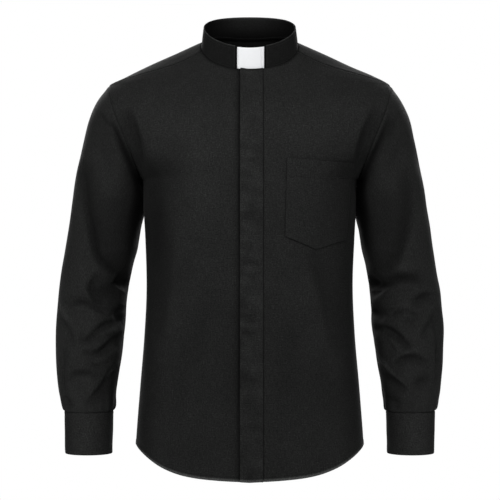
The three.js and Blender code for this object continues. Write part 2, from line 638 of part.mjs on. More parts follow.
// A flat round button on the lap of the cuff.
function cuffButton(side) {
  const profile = [
    [0, 0], [button.radius, 0], [button.radius, button.thickness - button.dish],
    [button.radius - button.dish, button.thickness],
    [button.radius - button.dish - button.rim, button.thickness],
    [button.radius - 2 * button.dish - button.rim, button.thickness - button.dish],
    [0, button.thickness - button.dish],
  ].map(([radius, height]) => new THREE.Vector2(radius, height));
  const geometry = new THREE.LatheGeometry(profile, 20);
  const seat = cuffPoint(button.turn, button.height, cuffThickness + cuff.lapGap);
  const turn = toRadians(button.turn);
  const outward = mirrored(new THREE.Vector3(-Math.cos(turn), -Math.sin(turn), 0), side);
  const place = moved(mirrored(seat, side), outward, button.gap);
  const mesh = new THREE.Mesh(geometry, new THREE.MeshStandardMaterial(buttonBlack));
  mesh.quaternion.setFromUnitVectors(new THREE.Vector3(0, 1, 0), outward);
  mesh.position.copy(place);
  return mesh;
}

// ---- the shirt ----
const shirt = new THREE.Group();

function addPiece(name, geometry, finish) {
  const piece = new THREE.Mesh(geometry, new THREE.MeshStandardMaterial(finish));
  piece.name = name;
  shirt.add(piece);
}

const rightFront = frontGrid(-1, fly.underlap, neckColumns + 2);
const leftFront = frontGrid(1, fly.seam + seamGap, neckColumns);
addPiece('front_right', torsoWall(rightFront, bodyLevel, clothThickness, ['end', 'last']), fabricBlack);
addPiece('front_left', torsoWall(leftFront, leftFrontLevel, clothThickness, ['end', 'last']), fabricBlack);
addPiece('back', torsoWall(backGrid(), bodyLevel, clothThickness, ['start', 'end', 'last']), fabricBlack);
addPiece('yoke', torsoWall(yokeGrid(), 0, clothThickness, ['start', 'end', 'first', 'last']), fabricBlack);
addPiece('fly_placket', flyWall(), fabricBlack);
addPiece('pocket', pocketWall(), fabricBlack);
addPiece('collar_band', bandWall(collarTurns(), steps(3), 0, bandThickness), fabricBlack);
const tabTurns = steps(8).map((t) => mix(-tabHalfTurn, tabHalfTurn, t));
const tab = bandWall(tabTurns, [0.05, 0.5, 0.97], bandThickness + seamGap, tabThickness);
addPiece('collar_tab', tab, tabWhite);
for (const [side, word, folds] of [[-1, 'right', rightSleeveFolds], [1, 'left', leftSleeveFolds]]) {
  addPiece(`sleeve_${word}`, sleeveWall(side, folds), fabricBlack);
  addPiece(`sleeve_placket_${word}`, sleevePlacketWall(side), fabricBlack);
  addPiece(`cuff_${word}`, cuffWall(side), fabricBlack);
  const fastened = cuffButton(side);
  fastened.name = `cuff_button_${word}`;
  shirt.add(fastened);
}

export default shirt;
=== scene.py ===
import math

import bmesh
import bpy
import numpy as np
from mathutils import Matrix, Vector


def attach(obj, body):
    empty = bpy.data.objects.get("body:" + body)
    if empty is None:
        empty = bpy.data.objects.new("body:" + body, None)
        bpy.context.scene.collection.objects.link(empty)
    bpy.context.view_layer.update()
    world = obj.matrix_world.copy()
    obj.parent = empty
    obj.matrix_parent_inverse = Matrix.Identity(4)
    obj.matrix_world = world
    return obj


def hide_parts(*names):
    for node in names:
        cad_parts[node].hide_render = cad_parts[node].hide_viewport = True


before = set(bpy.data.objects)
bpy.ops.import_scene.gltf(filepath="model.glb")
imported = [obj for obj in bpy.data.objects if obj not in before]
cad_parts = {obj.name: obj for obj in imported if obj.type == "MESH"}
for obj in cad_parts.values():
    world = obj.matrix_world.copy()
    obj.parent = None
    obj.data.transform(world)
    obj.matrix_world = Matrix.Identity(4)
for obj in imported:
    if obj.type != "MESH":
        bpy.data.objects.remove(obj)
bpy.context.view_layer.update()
print("loaded the solids")


# Lengths below are in millimetres and turned into metres when a mesh is made.
mm = 0.001
fine = 5  # grid steps for each armhole step

clothThickness = 1.2
bandThickness = 1.8
tabThickness = 1.2
cuffThickness = 1.8

shoulderPoint = {"x": 238, "z": -73}
underarmPoint = {"x": 181, "z": -232}
armholeHalfDepth = 77
armholeBow = 4
armholeSteps = 28
yokeFrontStep = 13
yokeBackStep = 18
yokeSeamBow = 14

neck = {"halfWidth": 82, "halfDepth": 53, "middleY": -4, "frontTurn": 77}
bandTop = {"halfWidth": 77.6, "halfDepth": 50, "middleY": -6.5, "side": 25, "rise": 30.95, "dip": 7.45}
bandSeat = 1.5  # how far the collar band reaches down past the neck line
bandEnds = {"left": 24.4, "right": 21.4}  # how far each end stops from the centre line
hem = {"side": -676, "front": -727, "back": -745, "turned": 7}
fly = {
    "freeEdge": -15.3, "seam": 22.1, "underlap": 19, "thickness": 1.8,
    "drop": 0.2, "lift": 1.5, "fade": 60,
}
pocket = {
    "topIn": (60, -199.5), "topOut": (172.5, -207), "footIn": (56.5, -328),
    "tip": (108, -349), "footOut": (159, -334), "hem": 30, "gap": 0.8,
}
cuff = {
    "middleX": 269.6, "middleY": -22, "top": -619.6, "halfWidth": 41, "halfDepth": 40,
    "height": 70, "ease": 0.2, "taper": 1.6, "lean": 2,
    "lapStart": 196, "lap": 46, "lapRise": 14, "lapGap": 0.5,
}
sleevePlacket = {"width": 25, "length": 120, "turn": 228, "endRing": 13.9, "ringSpacing": 36}
cuffButton = {"radius": 5.6, "thickness": 2.6, "turn": 226, "height": 0.5, "gap": 0.6}
seamGap = 0.3
noHem = 99  # a distance to the hem for the pieces that have none


def table(columns, *rows):
    values = np.array(rows, dtype=float)
    return {name: values[:, i] for i, name in enumerate(columns.split())}


torsoRows = table(
    "at halfWidth front back middle power",
    (-760, 197.0, -123, 127, 0, 2.3),
    (-671, 191.6, -119, 124, 0, 2.3),
    (-576, 184.2, -114, 117, 0, 2.3),
    (-495, 177.3, -110, 106, 0, 2.3),
    (-414, 173.6, -112, 102, 0, 2.3),
    (-333, 176.2, -118, 109, 1, 2.35),
    (-279, 179.2, -122, 117, 3, 2.4),
    (-232, 181.0, -121, 121, 4, 2.6),
    (-195, 190.0, -118, 121, 4, 3.0),
    (-150, 210.0, -106, 118, 5, 3.2),
    (-103, 229.0, -86, 109, 6, 2.9),
    (-73, 238.0, -71, 98, 9, 2.3),
    (-57, 211.0, -62, 92, 14, 2.1),
    (-37, 170.0, -45, 83, 22, 2),
    (-17, 128.2, -30, 72, 27, 2),
    (0, 90.5, -14, 60, 28, 2),
    (10, 66.0, -2, 50, 28, 2),
    (18, 42.0, 8, 42, 28, 2),
)
hemRows = table(
    "at drop",
    (0, 1), (0.191, 0.94), (0.301, 0.885), (0.395, 0.804), (0.495, 0.67), (0.577, 0.535),
    (0.664, 0.373), (0.756, 0.214), (0.809, 0.138), (0.918, 0.025), (1, 0),
)
sleeveRows = table(
    "at innerX innerZ outerX outerZ middle halfDepth",
    (0, 181.0, -232, 238.0, -73, 5, 77),
    (1, 182.2, -244, 257.5, -98, 12, 76),
    (2, 180.2, -260, 270.2, -124, 22, 75),
    (3, 178.8, -278, 280.0, -157, 31, 74),
    (4, 184.5, -306, 292.8, -215, 35, 73),
    (5, 190.3, -338, 303.6, -281, 36, 71),
    (6, 198.0, -373, 313.4, -347, 35, 69),
    (7, 205.2, -410, 320.2, -390, 31, 66),
    (8, 208.8, -441, 325.0, -428, 25, 64),
    (9, 209.7, -475, 327.7, -470, 16, 62),
    (10, 212.8, -510, 327.2, -510, 6, 60),
    (11, 218.3, -548, 325.7, -546, -4, 57),
    (12, 222.9, -582, 320.9, -583, -13, 52),
    (13, 225.6, -606, 315.5, -606, -19, 46),
    (14, 228.6, -619.6, 310.6, -619.6, -22, 40),
)
lastRing = 14


def mix(a, b, share):
    return a + (b - a) * share


def smooth(value):
    t = np.clip(value, 0, 1)
    return t * t * (3 - 2 * t)


# One at the middle of a line and fading out at a width to both sides.
def hump(distance, width):
    return np.exp(-((distance / width) ** 2))


def unit(vectors):
    return vectors / np.maximum(np.linalg.norm(vectors, axis=-1, keepdims=True), 1e-9)


def points(x, y, z):
    return np.stack(np.broadcast_arrays(x, y, z), axis=-1).astype(float)


def mirrored(grid, side):
    return grid * np.array([side, 1, 1])


# A smooth value between the rows of a table.
def tableValue(rows, column, at):
    place, value = rows["at"], rows[column]
    at = np.asarray(at, dtype=float)
    i = np.clip(np.searchsorted(place, at, side="right") - 1, 0, len(place) - 2)
    secant = np.diff(value) / np.diff(place)
    slope = np.concatenate([secant[:1], (secant[:-1] + secant[1:]) / 2, secant[-1:]])
    span = place[i + 1] - place[i]
    t = np.clip((at - place[i]) / span, 0, 1)
    start = value[i] * (1 + 2 * t) * (1 - t) ** 2 + slope[i] * span * t * (1 - t) ** 2
    return start + value[i + 1] * t * t * (3 - 2 * t) - slope[i + 1] * span * t * t * (1 - t)


# A value of the torso's rings at a height.
def torsoValue(column, z):
    return tableValue(torsoRows, column, z)


# The left armhole's seam: steps run from the underarm up the front, over the shoulder and down the back.
def armholePoint(step):
    turn = 2 * np.pi * np.asarray(step, dtype=float) / armholeSteps
    along = (1 - np.cos(turn)) / 2
    z = mix(underarmPoint["z"], shoulderPoint["z"], along)
    x = mix(underarmPoint["x"], shoulderPoint["x"], along) + armholeBow * np.sin(np.pi * along * along)
    return points(x, torsoValue("middle", z) - armholeHalfDepth * np.sin(turn), z)


# The step on the front half of the armhole at a height.
def armholeStep(z):
    height = shoulderPoint["z"] - underarmPoint["z"]
    along = (np.clip(z, underarmPoint["z"], shoulderPoint["z"]) - underarmPoint["z"]) / height
    return np.arccos(1 - 2 * along) / (2 * np.pi) * armholeSteps


def ringDepth(z, isFront):
    edge = np.where(isFront, torsoValue("front", z), torsoValue("back", z))
    return np.abs(edge - torsoValue("middle", z))


# Beside an armhole a ring is made just wide enough to run through its seam.
def ringHalfWidth(z, isFront):
    whole = torsoValue("halfWidth", z)
    seam = armholePoint(armholeStep(z))
    reach = np.minimum(np.abs(seam[..., 1] - torsoValue("middle", z)) / ringDepth(z, isFront), 0.999)
    power = torsoValue("power", z)
    throughSeam = seam[..., 0] / (1 - reach**power) ** (1 / power)
    isWhole = (z <= underarmPoint["z"]) | (z >= shoulderPoint["z"])
    return np.where(isWhole, whole, throughSeam)


def torsoY(x, z, isFront):
    power = torsoValue("power", z)
    reach = np.minimum(1, np.abs(x) / ringHalfWidth(z, isFront))
    depth = ringDepth(z, isFront) * (1 - reach**power) ** (1 / power)
    return torsoValue("middle", z) + np.where(isFront, -depth, depth)


# Less than one inside the torso, and one on it.
def torsoReach(x, y, z):
    middle = torsoValue("middle", z)
    isFront = y < middle
    power = torsoValue("power", z)
    sideways = (np.abs(x) / ringHalfWidth(z, isFront)) ** power
    return sideways + (np.abs(y - middle) / ringDepth(z, isFront)) ** power


# The torso's upper side above a place, found by halving the heights that it lies between.
def onTorso(x, y):
    x, y = np.broadcast_arrays(np.asarray(x, dtype=float), np.asarray(y, dtype=float))
    low = np.full(x.shape, -300.0)
    high = np.full(x.shape, torsoRows["at"][-1])
    for _ in range(34):
        z = (low + high) / 2
        inside = torsoReach(x, y, z) < 1
        low = np.where(inside, z, low)
        high = np.where(inside, high, z)
    return points(x, y, (low + high) / 2)


def torsoNormal(grid):
    x, y, z = grid[..., 0], grid[..., 1], grid[..., 2]
    r = 0.5
    return unit(points(
        torsoReach(x + r, y, z) - torsoReach(x - r, y, z),
        torsoReach(x, y + r, z) - torsoReach(x, y - r, z),
        torsoReach(x, y, z + r) - torsoReach(x, y, z - r),
    ))


# The neck line: degrees run from the front's middle to the wearer's left and on to the back.
def neckPoint(degrees):
    turn = np.radians(degrees)
    return onTorso(neck["halfWidth"] * np.sin(turn), neck["middleY"] - neck["halfDepth"] * np.cos(turn))


def yokeSeamPoint(share):
    start, end = neckPoint(neck["frontTurn"]), armholePoint(yokeFrontStep)
    share = np.asarray(share, dtype=float)
    bow = yokeSeamBow * 4 * share * (1 - share)
    found = onTorso(mix(start[0], end[0], share), mix(start[1], end[1], share) - bow)
    found[share >= 1] = end
    return found


# Folds seen from one face. Each row says how wide the fold is, how deep it presses in (a negative
# depth stands out), how much wider its left flank is than its right, how much shade is painted inside
# it (a negative value paints light), or None where that follows its depth, and its path.
def foldsOn(face, *rows):
    made = []
    for width, depth, lean, dark, *path in rows:
        if dark is None:
            dark = depth / (6.5 if depth > 0 else 9)
        path = np.array(path, dtype=float)
        made.append({"face": face, "width": width, "depth": depth, "lean": lean, "dark": dark, "path": path})
    return made


# Even steps on a smooth line through the places of a path.
def foldLine(path, count=40):
    known = np.linspace(0, 1, len(path))
    rows = {"at": known, "x": path[:, 0], "z": path[:, 1]}
    t = np.linspace(0, 1, count)
    return np.stack([tableValue(rows, "x", t), tableValue(rows, "z", t)], axis=-1), t


foldStrength = 1.35


# How far the folds press in, and how much shade is painted in them.
def foldDepth(folds, face, x, z):
    depth, dark = np.zeros(np.shape(x)), np.zeros(np.shape(x))
    for item in folds:
        if item["face"] != face:
            continue
        line, t = foldLine(item["path"])
        tangent = np.gradient(line, axis=0)
        tangent /= np.linalg.norm(tangent, axis=1, keepdims=True)
        apart = np.stack([x, z], axis=-1)[..., None, :] - line
        distance = np.linalg.norm(apart, axis=-1)
        nearest = np.argmin(distance, axis=-1)
        d = np.take_along_axis(distance, nearest[..., None], axis=-1)[..., 0]
        chosen = np.take_along_axis(apart, nearest[..., None, None], axis=-2)[..., 0, :]
        sideways = tangent[nearest][..., 0] * chosen[..., 1] - tangent[nearest][..., 1] * chosen[..., 0]
        width = item["width"] * (1 + item["lean"] * np.tanh(sideways / item["width"]))
        q = (d / width) ** 2
        ends = 0.12 + 0.88 * np.sin(np.pi * np.clip(t[nearest], 0, 1)) ** 0.7
        profile = ends * np.exp(-q)
        depth += foldStrength * item["depth"] * profile * (1 - 0.45 * q)
        dark += item["dark"] * profile
    return depth, dark


# Slow unevenness of worn cloth, from a few plane waves.
def ripple(seed, u, v, height, shortest=45, longest=150):
    random = np.random.default_rng(seed)
    total = np.zeros(np.shape(u))
    for _ in range(9):
        length = random.uniform(shortest, longest)
        turn = random.uniform(0, 2 * np.pi)
        phase = random.uniform(0, 2 * np.pi)
        total += np.sin((u * np.cos(turn) + v * np.sin(turn)) * 2 * np.pi / length + phase)
    return total * height / 3


bodyFolds = foldsOn(
    "front",
    (13, 5, -0.6, 1.35, (-203, -116), (-193, -145), (-184, -178), (-179, -218)),
    (13, 5, 0.6, 1.35, (211, -114), (197, -145), (186, -178), (180, -216)),
    (30, 4.5, 0, None, (-127, -200), (-150, -252), (-153, -334), (-137, -432)),
    (20, 2.2, 0, None, (-163, -268), (-166, -366), (-153, -481)),
    (18, 4, 0.5, 0.62, (101, -350), (110, -380), (128, -430), (140, -484), (153, -532)),
    (14, 2.4, -0.5, 0.28, (-135, -325), (-139, -383), (-145, -453), (-153, -508)),
    (26, 1.6, 0, None, (-57, -375), (-81, -464), (-114, -562), (-127, -628)),
    (22, 2.5, 0, None, (112, -538), (128, -595), (144, -644)),
    (34, -2, 0, None, (-81, -154), (-73, -236), (-88, -334)),
    (38, 2, 0, 0.55, (170, -170), (150, -240), (140, -320), (148, -420)),
    (30, 2, 0, None, (-29, -432), (-22, -530), (-29, -628)),
    (26, 2, 0, None, (50, -432), (66, -530), (56, -628)),
) + foldsOn(
    "back",
    (22, 5, 0.2, None, (-172, -215), (-134, -270), (-96, -322), (-70, -360)),
    (22, 5, -0.2, None, (170, -225), (138, -280), (104, -340), (84, -390)),
    (18, 3, 0.2, None, (-168, -262), (-140, -330), (-122, -396)),
    (18, 3, -0.2, None, (166, -280), (142, -350), (128, -420)),
    (26, 5, 0, None, (-96, -390), (-84, -500), (-98, -640)),
    (24, 4, 0, None, (70, -420), (84, -520), (72, -620)),
    (28, -4, 0, None, (-20, -160), (6, -260), (-8, -350)),
    (30, 3, 0, None, (-12, -420), (4, -520), (-6, -650)),
    (13, 4, 0, None, (-196, -140), (-188, -172), (-180, -212)),
    (13, 4, 0, None, (198, -138), (188, -174), (180, -214)),
)
rightSleeveFolds = foldsOn(
    "front",
    (9, 5, 0.4, 3.0, (-229, -137), (-219, -160), (-209, -184), (-197, -210), (-186, -240)),
    (6, 2, 0, 0.6, (-248, -123), (-242, -133), (-235, -147)),
    (3, -2, 0, -0.6, (-234, -144), (-223, -162), (-213, -184)),
    (15, 2, 0, 0.1, (-250, -126), (-258, -166), (-262, -198)),
    (12, 5, 0.65, 1.6, (-282, -196), (-278, -225), (-273, -265), (-265, -318), (-254, -358),
     (-237, -379), (-214, -391)),
    (4, 1.5, 0, 0.7, (-272, -260), (-266, -300), (-253, -356), (-241, -371), (-225, -386),
     (-211, -392)),
    (24, 4, 0, None, (-226, -262), (-234, -310), (-226, -352)),
    (13, 8, 0.3, 1.6, (-226, -398), (-217, -404), (-204, -411)),
    (2.5, -1, 0, -0.2, (-229, -396), (-221, -411), (-208, -426)),
    (11, 6, 0.6, 1.1, (-250, -390), (-263, -413), (-254, -431), (-240, -441)),
    (15, 3, 0, 0.8, (-250, -420), (-235, -417), (-216, -424)),
    (9, -3, 0, None, (-284, -372), (-273, -410), (-263, -438)),
    (5.5, 3.5, 0.5, 1.0, (-305, -446), (-292, -440), (-278, -438), (-264, -443), (-252, -450),
     (-238, -455)),
    (4, -3, 0, -0.6, (-317, -441), (-310, -458), (-302, -474)),
    (7, 3, 0, 0.6, (-316, -464), (-306, -480), (-297, -498), (-290, -514)),
    (9, 5, 0, 1.2, (-212, -444), (-220, -458), (-211, -472)),
    (8, 5, -0.3, 1.0, (-279, -486), (-276, -500), (-264, -496), (-250, -483), (-236, -474),
     (-210, -471)),
    (7, -3, 0, None, (-258, -489), (-240, -487), (-220, -484)),
    (9, 5, -0.4, 1.0, (-278, -522), (-252, -521), (-236, -511), (-212, -489)),
    (6, 3, 0, 0.6, (-268, -536), (-258, -542), (-246, -545)),
    (8, -3, 0, None, (-258, -536), (-240, -528), (-222, -512)),
    (5.5, 3.5, 0.5, 1.0, (-302, -567), (-289, -557), (-275, -555), (-261, -557), (-250, -567)),
    (10, 5, -0.5, 1.0, (-269, -607), (-252, -589), (-240, -574), (-222, -542)),
    (2.5, -2, 0, -0.8, (-236, -563), (-228, -551), (-219, -538)),
    (6, 4, 0.4, None, (-309, -512), (-312, -560), (-307, -600)),
    (8, 4, 0, None, (-308, -592), (-300, -604), (-292, -613)),
) + foldsOn(
    "back",
    (14, 6, 0.2, None, (-206, -418), (-240, -405), (-280, -440)),
    (13, 5, -0.2, None, (-214, -480), (-250, -500), (-300, -488)),
    (16, 5, 0, None, (-262, -170), (-276, -250), (-270, -330)),
    (14, 5, 0.2, None, (-300, -345), (-284, -372), (-262, -384)),
    (12, 4, 0, None, (-222, -300), (-228, -350), (-216, -392)),
    (11, 4, 0.2, None, (-290, -545), (-266, -556), (-236, -546)),
    (10, -3.5, 0, None, (-250, -420), (-262, -450), (-256, -480)),
    (12, 5, 0.2, None, (-228, -130), (-214, -165), (-196, -205)),
)
leftSleeveFolds = foldsOn(
    "front",
    (8, 5, 0, 2.8, (232, -128), (216, -168), (200, -204), (186, -238)),
    (4, -2, 0, None, (226, -128), (212, -160), (199, -188)),
    (9, 2, 0, None, (244, -128), (240, -148), (231, -172)),
    (13, 5, -0.6, 1.35, (262, -212), (267, -246), (268, -283), (261, -318), (247, -362), (234, -379),
     (212, -386)),
    (24, 4, 0, None, (222, -250), (231, -300), (220, -346)),
    (13, 7, 0, 1.6, (197, -398), (210, -406), (214, -418)),
    (2.5, -1, 0, -0.2, (204, -424), (213, -413), (232, -399)),
    (9, 6, 0.5, 1.3, (207, -429), (226, -412), (243, -403), (262, -399), (279, -401), (294, -409)),
    (12, -3.5, 0, None, (235, -377), (254, -384), (279, -388)),
    (9, 5, -0.4, 0.9, (270, -443), (284, -432), (298, -427), (315, -430)),
    (9, 4, 0.4, 0.6, (315, -447), (306, -467), (295, -484), (286, -501)),
    (6, 3, 0.3, 0.6, (240, -467), (248, -457), (262, -453), (276, -459), (281, -470)),
    (10, 5, 0.3, 1.5, (203, -451), (214, -457), (226, -467)),
    (9, -3, 0, None, (240, -452), (254, -446), (272, -456)),
    (11, 3, 0, None, (252, -470), (266, -472), (280, -478)),
    (8, 5, -0.4, 1.1, (210, -483), (229, -482), (243, -489), (257, -503), (269, -516)),
    (5, -3, 0, -0.5, (232, -496), (244, -506), (250, -522)),
    (6, 3.5, 0.3, None, (311, -462), (314, -515), (310, -578)),
    (7, 4, -0.4, 1.1, (243, -543), (252, -531), (268, -528), (282, -530), (297, -539)),
    (4, -3, 0, -0.5, (236, -544), (243, -532), (260, -521), (284, -516)),
    (3, -3, 0, -0.8, (214, -524), (229, -542), (240, -556), (264, -577)),
    (9, 4, 0, 0.9, (217, -545), (230, -562), (246, -574), (262, -585)),
    (9, 4, 0.3, None, (230, -592), (242, -606), (254, -615)),
    (9, 4, 0, None, (270, -575), (286, -568), (304, -564)),
) + foldsOn(
    "back",
    (14, 6, 0.2, None, (206, -408), (244, -396), (292, -424)),
    (13, 5, -0.2, None, (216, -500), (252, -482), (296, -494)),
    (16, 5, 0, None, (266, -180), (272, -260), (258, -335)),
    (14, 5, 0.2, None, (304, -350), (280, -364), (258, -350)),
    (12, 4, 0, None, (226, -290), (230, -345), (214, -386)),
    (11, 4, -0.2, None, (292, -560), (268, -548), (238, -560)),
    (10, -3.5, 0, None, (252, -425), (258, -450), (250, -472)),
    (12, 5, 0.2, None, (230, -132), (216, -166), (196, -204)),
)


# The left sleeve's rings: steps run round as on the armhole, and the first rings turn into its seam.
def sleeveRing(ring, step):
    turn = 2 * np.pi * step / armholeSteps
    away = (1 - np.cos(turn)) / 2
    x = mix(tableValue(sleeveRows, "innerX", ring), tableValue(sleeveRows, "outerX", ring), away)
    z = mix(tableValue(sleeveRows, "innerZ", ring), tableValue(sleeveRows, "outerZ", ring), away)
    y = tableValue(sleeveRows, "middle", ring) - tableValue(sleeveRows, "halfDepth", ring) * np.sin(turn)
    return points(x, y, z)


def sleevePoint(ring, step):
    ring, step = np.broadcast_arrays(np.asarray(ring, dtype=float), np.asarray(step, dtype=float))
    fromSeam = armholePoint(step) - sleeveRing(np.zeros_like(ring), step)
    return sleeveRing(ring, step) + fromSeam * (1 - smooth(ring / 2))[..., None]


def sleeveNormal(ring, step):
    r = 0.05
    along = sleevePoint(np.minimum(lastRing, ring + r), step) - sleevePoint(np.maximum(0, ring - r), step)
    around = sleevePoint(ring, step + r) - sleevePoint(ring, step - r)
    return unit(np.cross(along, around))


# The left cuff: degrees run round from the side by the body, heights from its seam to its foot.
def cuffPoint(degrees, height, level):
    turn = np.radians(degrees)
    halfWidth = cuff["halfWidth"] + cuff["ease"] - cuff["taper"] * height + level
    halfDepth = cuff["halfDepth"] + cuff["ease"] - cuff["taper"] * height + level
    x = cuff["middleX"] - halfWidth * np.cos(turn)
    y = cuff["middleY"] - cuff["lean"] * height - halfDepth * np.sin(turn)
    return points(x, y, cuff["top"] - seamGap - cuff["height"] * height)


# How far the cuff's end stands out where it laps over its start.
def cuffLevel(degrees):
    lapped = degrees - cuff["lapStart"] - 360 + cuff["lapRise"]
    return smooth(lapped / cuff["lapRise"]) * (cuffThickness + cuff["lapGap"])


# The collar band's upper edge, and a place between it and the neck line.
def bandTopPoint(degrees):
    turn = np.radians(degrees)
    x = bandTop["halfWidth"] * np.sin(turn)
    y = bandTop["middleY"] - bandTop["halfDepth"] * np.cos(turn)
    return points(x, y, bandTop["side"] - bandTop["rise"] * np.cos(turn) - bandTop["dip"] * np.cos(turn) ** 2)


def bandPoint(degrees, height):
    low = neckPoint(degrees) - np.array([0, 0, bandSeat])
    return low + (bandTopPoint(degrees) - low) * np.asarray(height)[..., None]


def bandInward(degrees):
    turn = np.radians(degrees)
    return unit(points(-np.sin(turn) / neck["halfWidth"], np.cos(turn) / neck["halfDepth"], 0))


# Distances along the rows and the columns of a grid, in millimetres of cloth.
def arcs(grid):
    across = np.concatenate([np.zeros((grid.shape[0], 1)), np.cumsum(
        np.linalg.norm(np.diff(grid, axis=1), axis=-1), axis=1)], axis=1)
    down = np.concatenate([np.zeros((1, grid.shape[1])), np.cumsum(
        np.linalg.norm(np.diff(grid, axis=0), axis=-1), axis=0)], axis=0)
    return across, down


# How far a place is in from the two sides of a piece, and from its whole rim.
def fromSides(across):
    return np.minimum(across, across[:, -1:] - across)


def fromRim(across, down):
    return np.minimum(fromSides(across), np.minimum(down, down[-1:] - down))


# Where distances down (or across) a grid reach a value: a row of places with the way each one faces.
def lineAt(outer, normal, distances, value, byRow=False):
    layers = np.concatenate([outer, normal], axis=-1)
    if byRow:
        layers, distances = layers.swapaxes(0, 1), distances.T
    value = np.broadcast_to(value, distances.shape[1:])
    return np.array([[np.interp(value[i], distances[:, i], layers[:, i, k]) for k in range(6)]
                     for i in range(distances.shape[1])])


sewnLines = {}


def sew(word, *lines):
    sewnLines.setdefault(word, []).extend(lines)


# A closed thin shell between two grids with the same rows, with a rounded rim.
def shell(name, outer, inner, u, v, isTube=False, marks=None, insideShade=1):
    rows, columns = outer.shape[:2]
    count = rows * columns
    index = np.arange(count).reshape(rows, columns)
    if isTube:
        wide = np.concatenate([index, index[:, :1]], axis=1)
        rims = [(index[0], index[1]), (index[-1], index[-2])]
    else:
        wide = index
        loop = np.concatenate([index[0, :-1], index[:-1, -1], index[-1, :0:-1], index[:0:-1, 0]])
        inside = np.clip(loop // columns, 1, rows - 2) * columns + np.clip(loop % columns, 1, columns - 2)
        rims = [(loop, inside)]
    quads = np.stack([wide[:-1, :-1], wide[:-1, 1:], wide[1:, 1:], wide[1:, :-1]], axis=-1).reshape(-1, 4)
    outer, inner = outer.reshape(-1, 3), inner.reshape(-1, 3)
    places, faces, source = [outer, inner], [quads, quads[:, ::-1] + count], [np.arange(count)] * 2
    total = 2 * count
    for edge, inside in rims:
        middle = (outer[edge] + inner[edge]) / 2
        away = unit(middle - (outer[inside] + inner[inside]) / 2)
        thick = np.linalg.norm(outer[edge] - inner[edge], axis=1, keepdims=True)
        places.append(middle + away * thick * 0.25)
        source.append(edge)
        rim = total + np.arange(len(edge))
        total += len(edge)
        after = np.roll(np.arange(len(edge)), -1)
        faces.append(np.stack([edge, rim, rim[after], edge[after]], axis=1))
        faces.append(np.stack([rim, edge + count, edge[after] + count, rim[after]], axis=1))
    source = np.concatenate(source)
    mesh = bpy.data.meshes.new(name)
    mesh.from_pydata((np.concatenate(places) * mm).tolist(), [], np.concatenate(faces).tolist())
    piece = addPiece(name, mesh)
    corners = np.empty(len(mesh.loops), dtype=np.int32)
    mesh.loops.foreach_get("vertex_index", corners)
    uv = np.stack([u.ravel()[source][corners], v.ravel()[source][corners]], axis=1) * mm
    if isTube:  # the last column of faces runs on past the seam instead of back
        girth = (u[:, -1] + u[:, 1])[source // columns][corners] * mm
        furthest = np.repeat(uv.reshape(-1, 4, 2)[:, :, 0].max(axis=1), 4)
        uv[:, 0] += np.where(furthest - uv[:, 0] > girth / 2, girth, 0)
    mesh.uv_layers.new(name="clothMap").data.foreach_set("uv", uv.ravel().astype(np.float32))
    for mark, values in (marks or {}).items():
        found = np.broadcast_to(values, (rows, columns)).ravel()[source]
        mesh.attributes.new(mark, "FLOAT", "POINT").data.foreach_set("value", found.astype(np.float32))
    # The inner layer and the rim carry an "inside" mark that paints shade on them in the material.
    insideShade = np.broadcast_to(insideShade, (rows, columns)).ravel()
    layer = np.concatenate([np.zeros(count), insideShade, np.full(total - 2 * count, 0.15)])
    mesh.attributes.new("inside", "FLOAT", "POINT").data.foreach_set("value", layer.astype(np.float32))
    return piece


# An object at the origin with its faces turned outward and shaded smooth.
def addPiece(name, mesh):
    shape = bmesh.new()
    shape.from_mesh(mesh)
    bmesh.ops.recalc_face_normals(shape, faces=shape.faces)
    shape.to_mesh(mesh)
    shape.free()
    mesh.polygons.foreach_set("use_smooth", np.ones(len(mesh.polygons), dtype=bool))
    piece = bpy.data.objects.new(name, mesh)
    bpy.context.scene.collection.objects.link(piece)
    return piece


# Shares of a length, closer together near the ends that are edges of a piece.
def spread(count, length, start, end):
    near = np.array([0, 0.7, 1.8, 3.2, 5, 7, 9]) / length
    low = near if start else np.array([0.0])
    high = 1 - near[::-1] if end else np.array([1.0])
    between = np.linspace(low[-1], high[0], count + 1)[1:-1]
    return np.concatenate([low, between, high])


# From one edge of a panel over its centre line to the other: the share of a half, and which half.
def bothHalves(columns, length):
    half = spread(columns, length, False, True)
    return np.concatenate([half[::-1], half[1:]]), np.repeat([-1.0, 1.0], [len(half), len(half) - 1])


def hemHeight(share, isFront):
    return mix(hem["side"], hem["front" if isFront else "back"], tableValue(hemRows, "drop", share))


# The share of a half girth between the centre line and a place beside it.
def girthShare(x):
    return 2 / np.pi * np.arcsin(np.minimum(1, np.abs(x) / torsoValue("halfWidth", hem["side"])))


def armholeEdge(z):
    return armholePoint(armholeStep(z))[..., 0]


# Painted shade: cloth gets less light close under the yoke and toward the hem.
def farFromLight(z):
    return 0.3 * smooth((z + 140) / 60) + 0.24 * smooth((-400 - z) / 160)


# How far the cloth of the body stands off the plain torso, and the shade painted on it: in its folds, at its
# sides beside the arms, under the yoke and toward the hem.
def bodyLevel(grid, face):
    x, z = grid[..., 0], grid[..., 2]
    fromSide = np.abs(grid[..., 1] - torsoValue("middle", z)) / 40
    limit = np.where(z > underarmPoint["z"], armholeEdge(z), 1e6)
    fade = smooth(fromSide) * smooth((-95 - z) / 40) * smooth((limit - np.abs(x)) / 12)
    drift = ripple(3 if face == "front" else 4, x, z * 0.6, 0.9, 60, 190)
    press, dark = foldDepth(bodyFolds, face, x, z)
    # Painted shade on the body's sides below the arms.
    side = 0.75 * smooth((np.abs(x) / torsoValue("halfWidth", z) - 0.74) / 0.2) * smooth((-170 - z) / 50)
    return (fade * 0.8 + 0.15) * drift - fade * press, dark * smooth((-85 - z) / 30) + side + farFromLight(z)


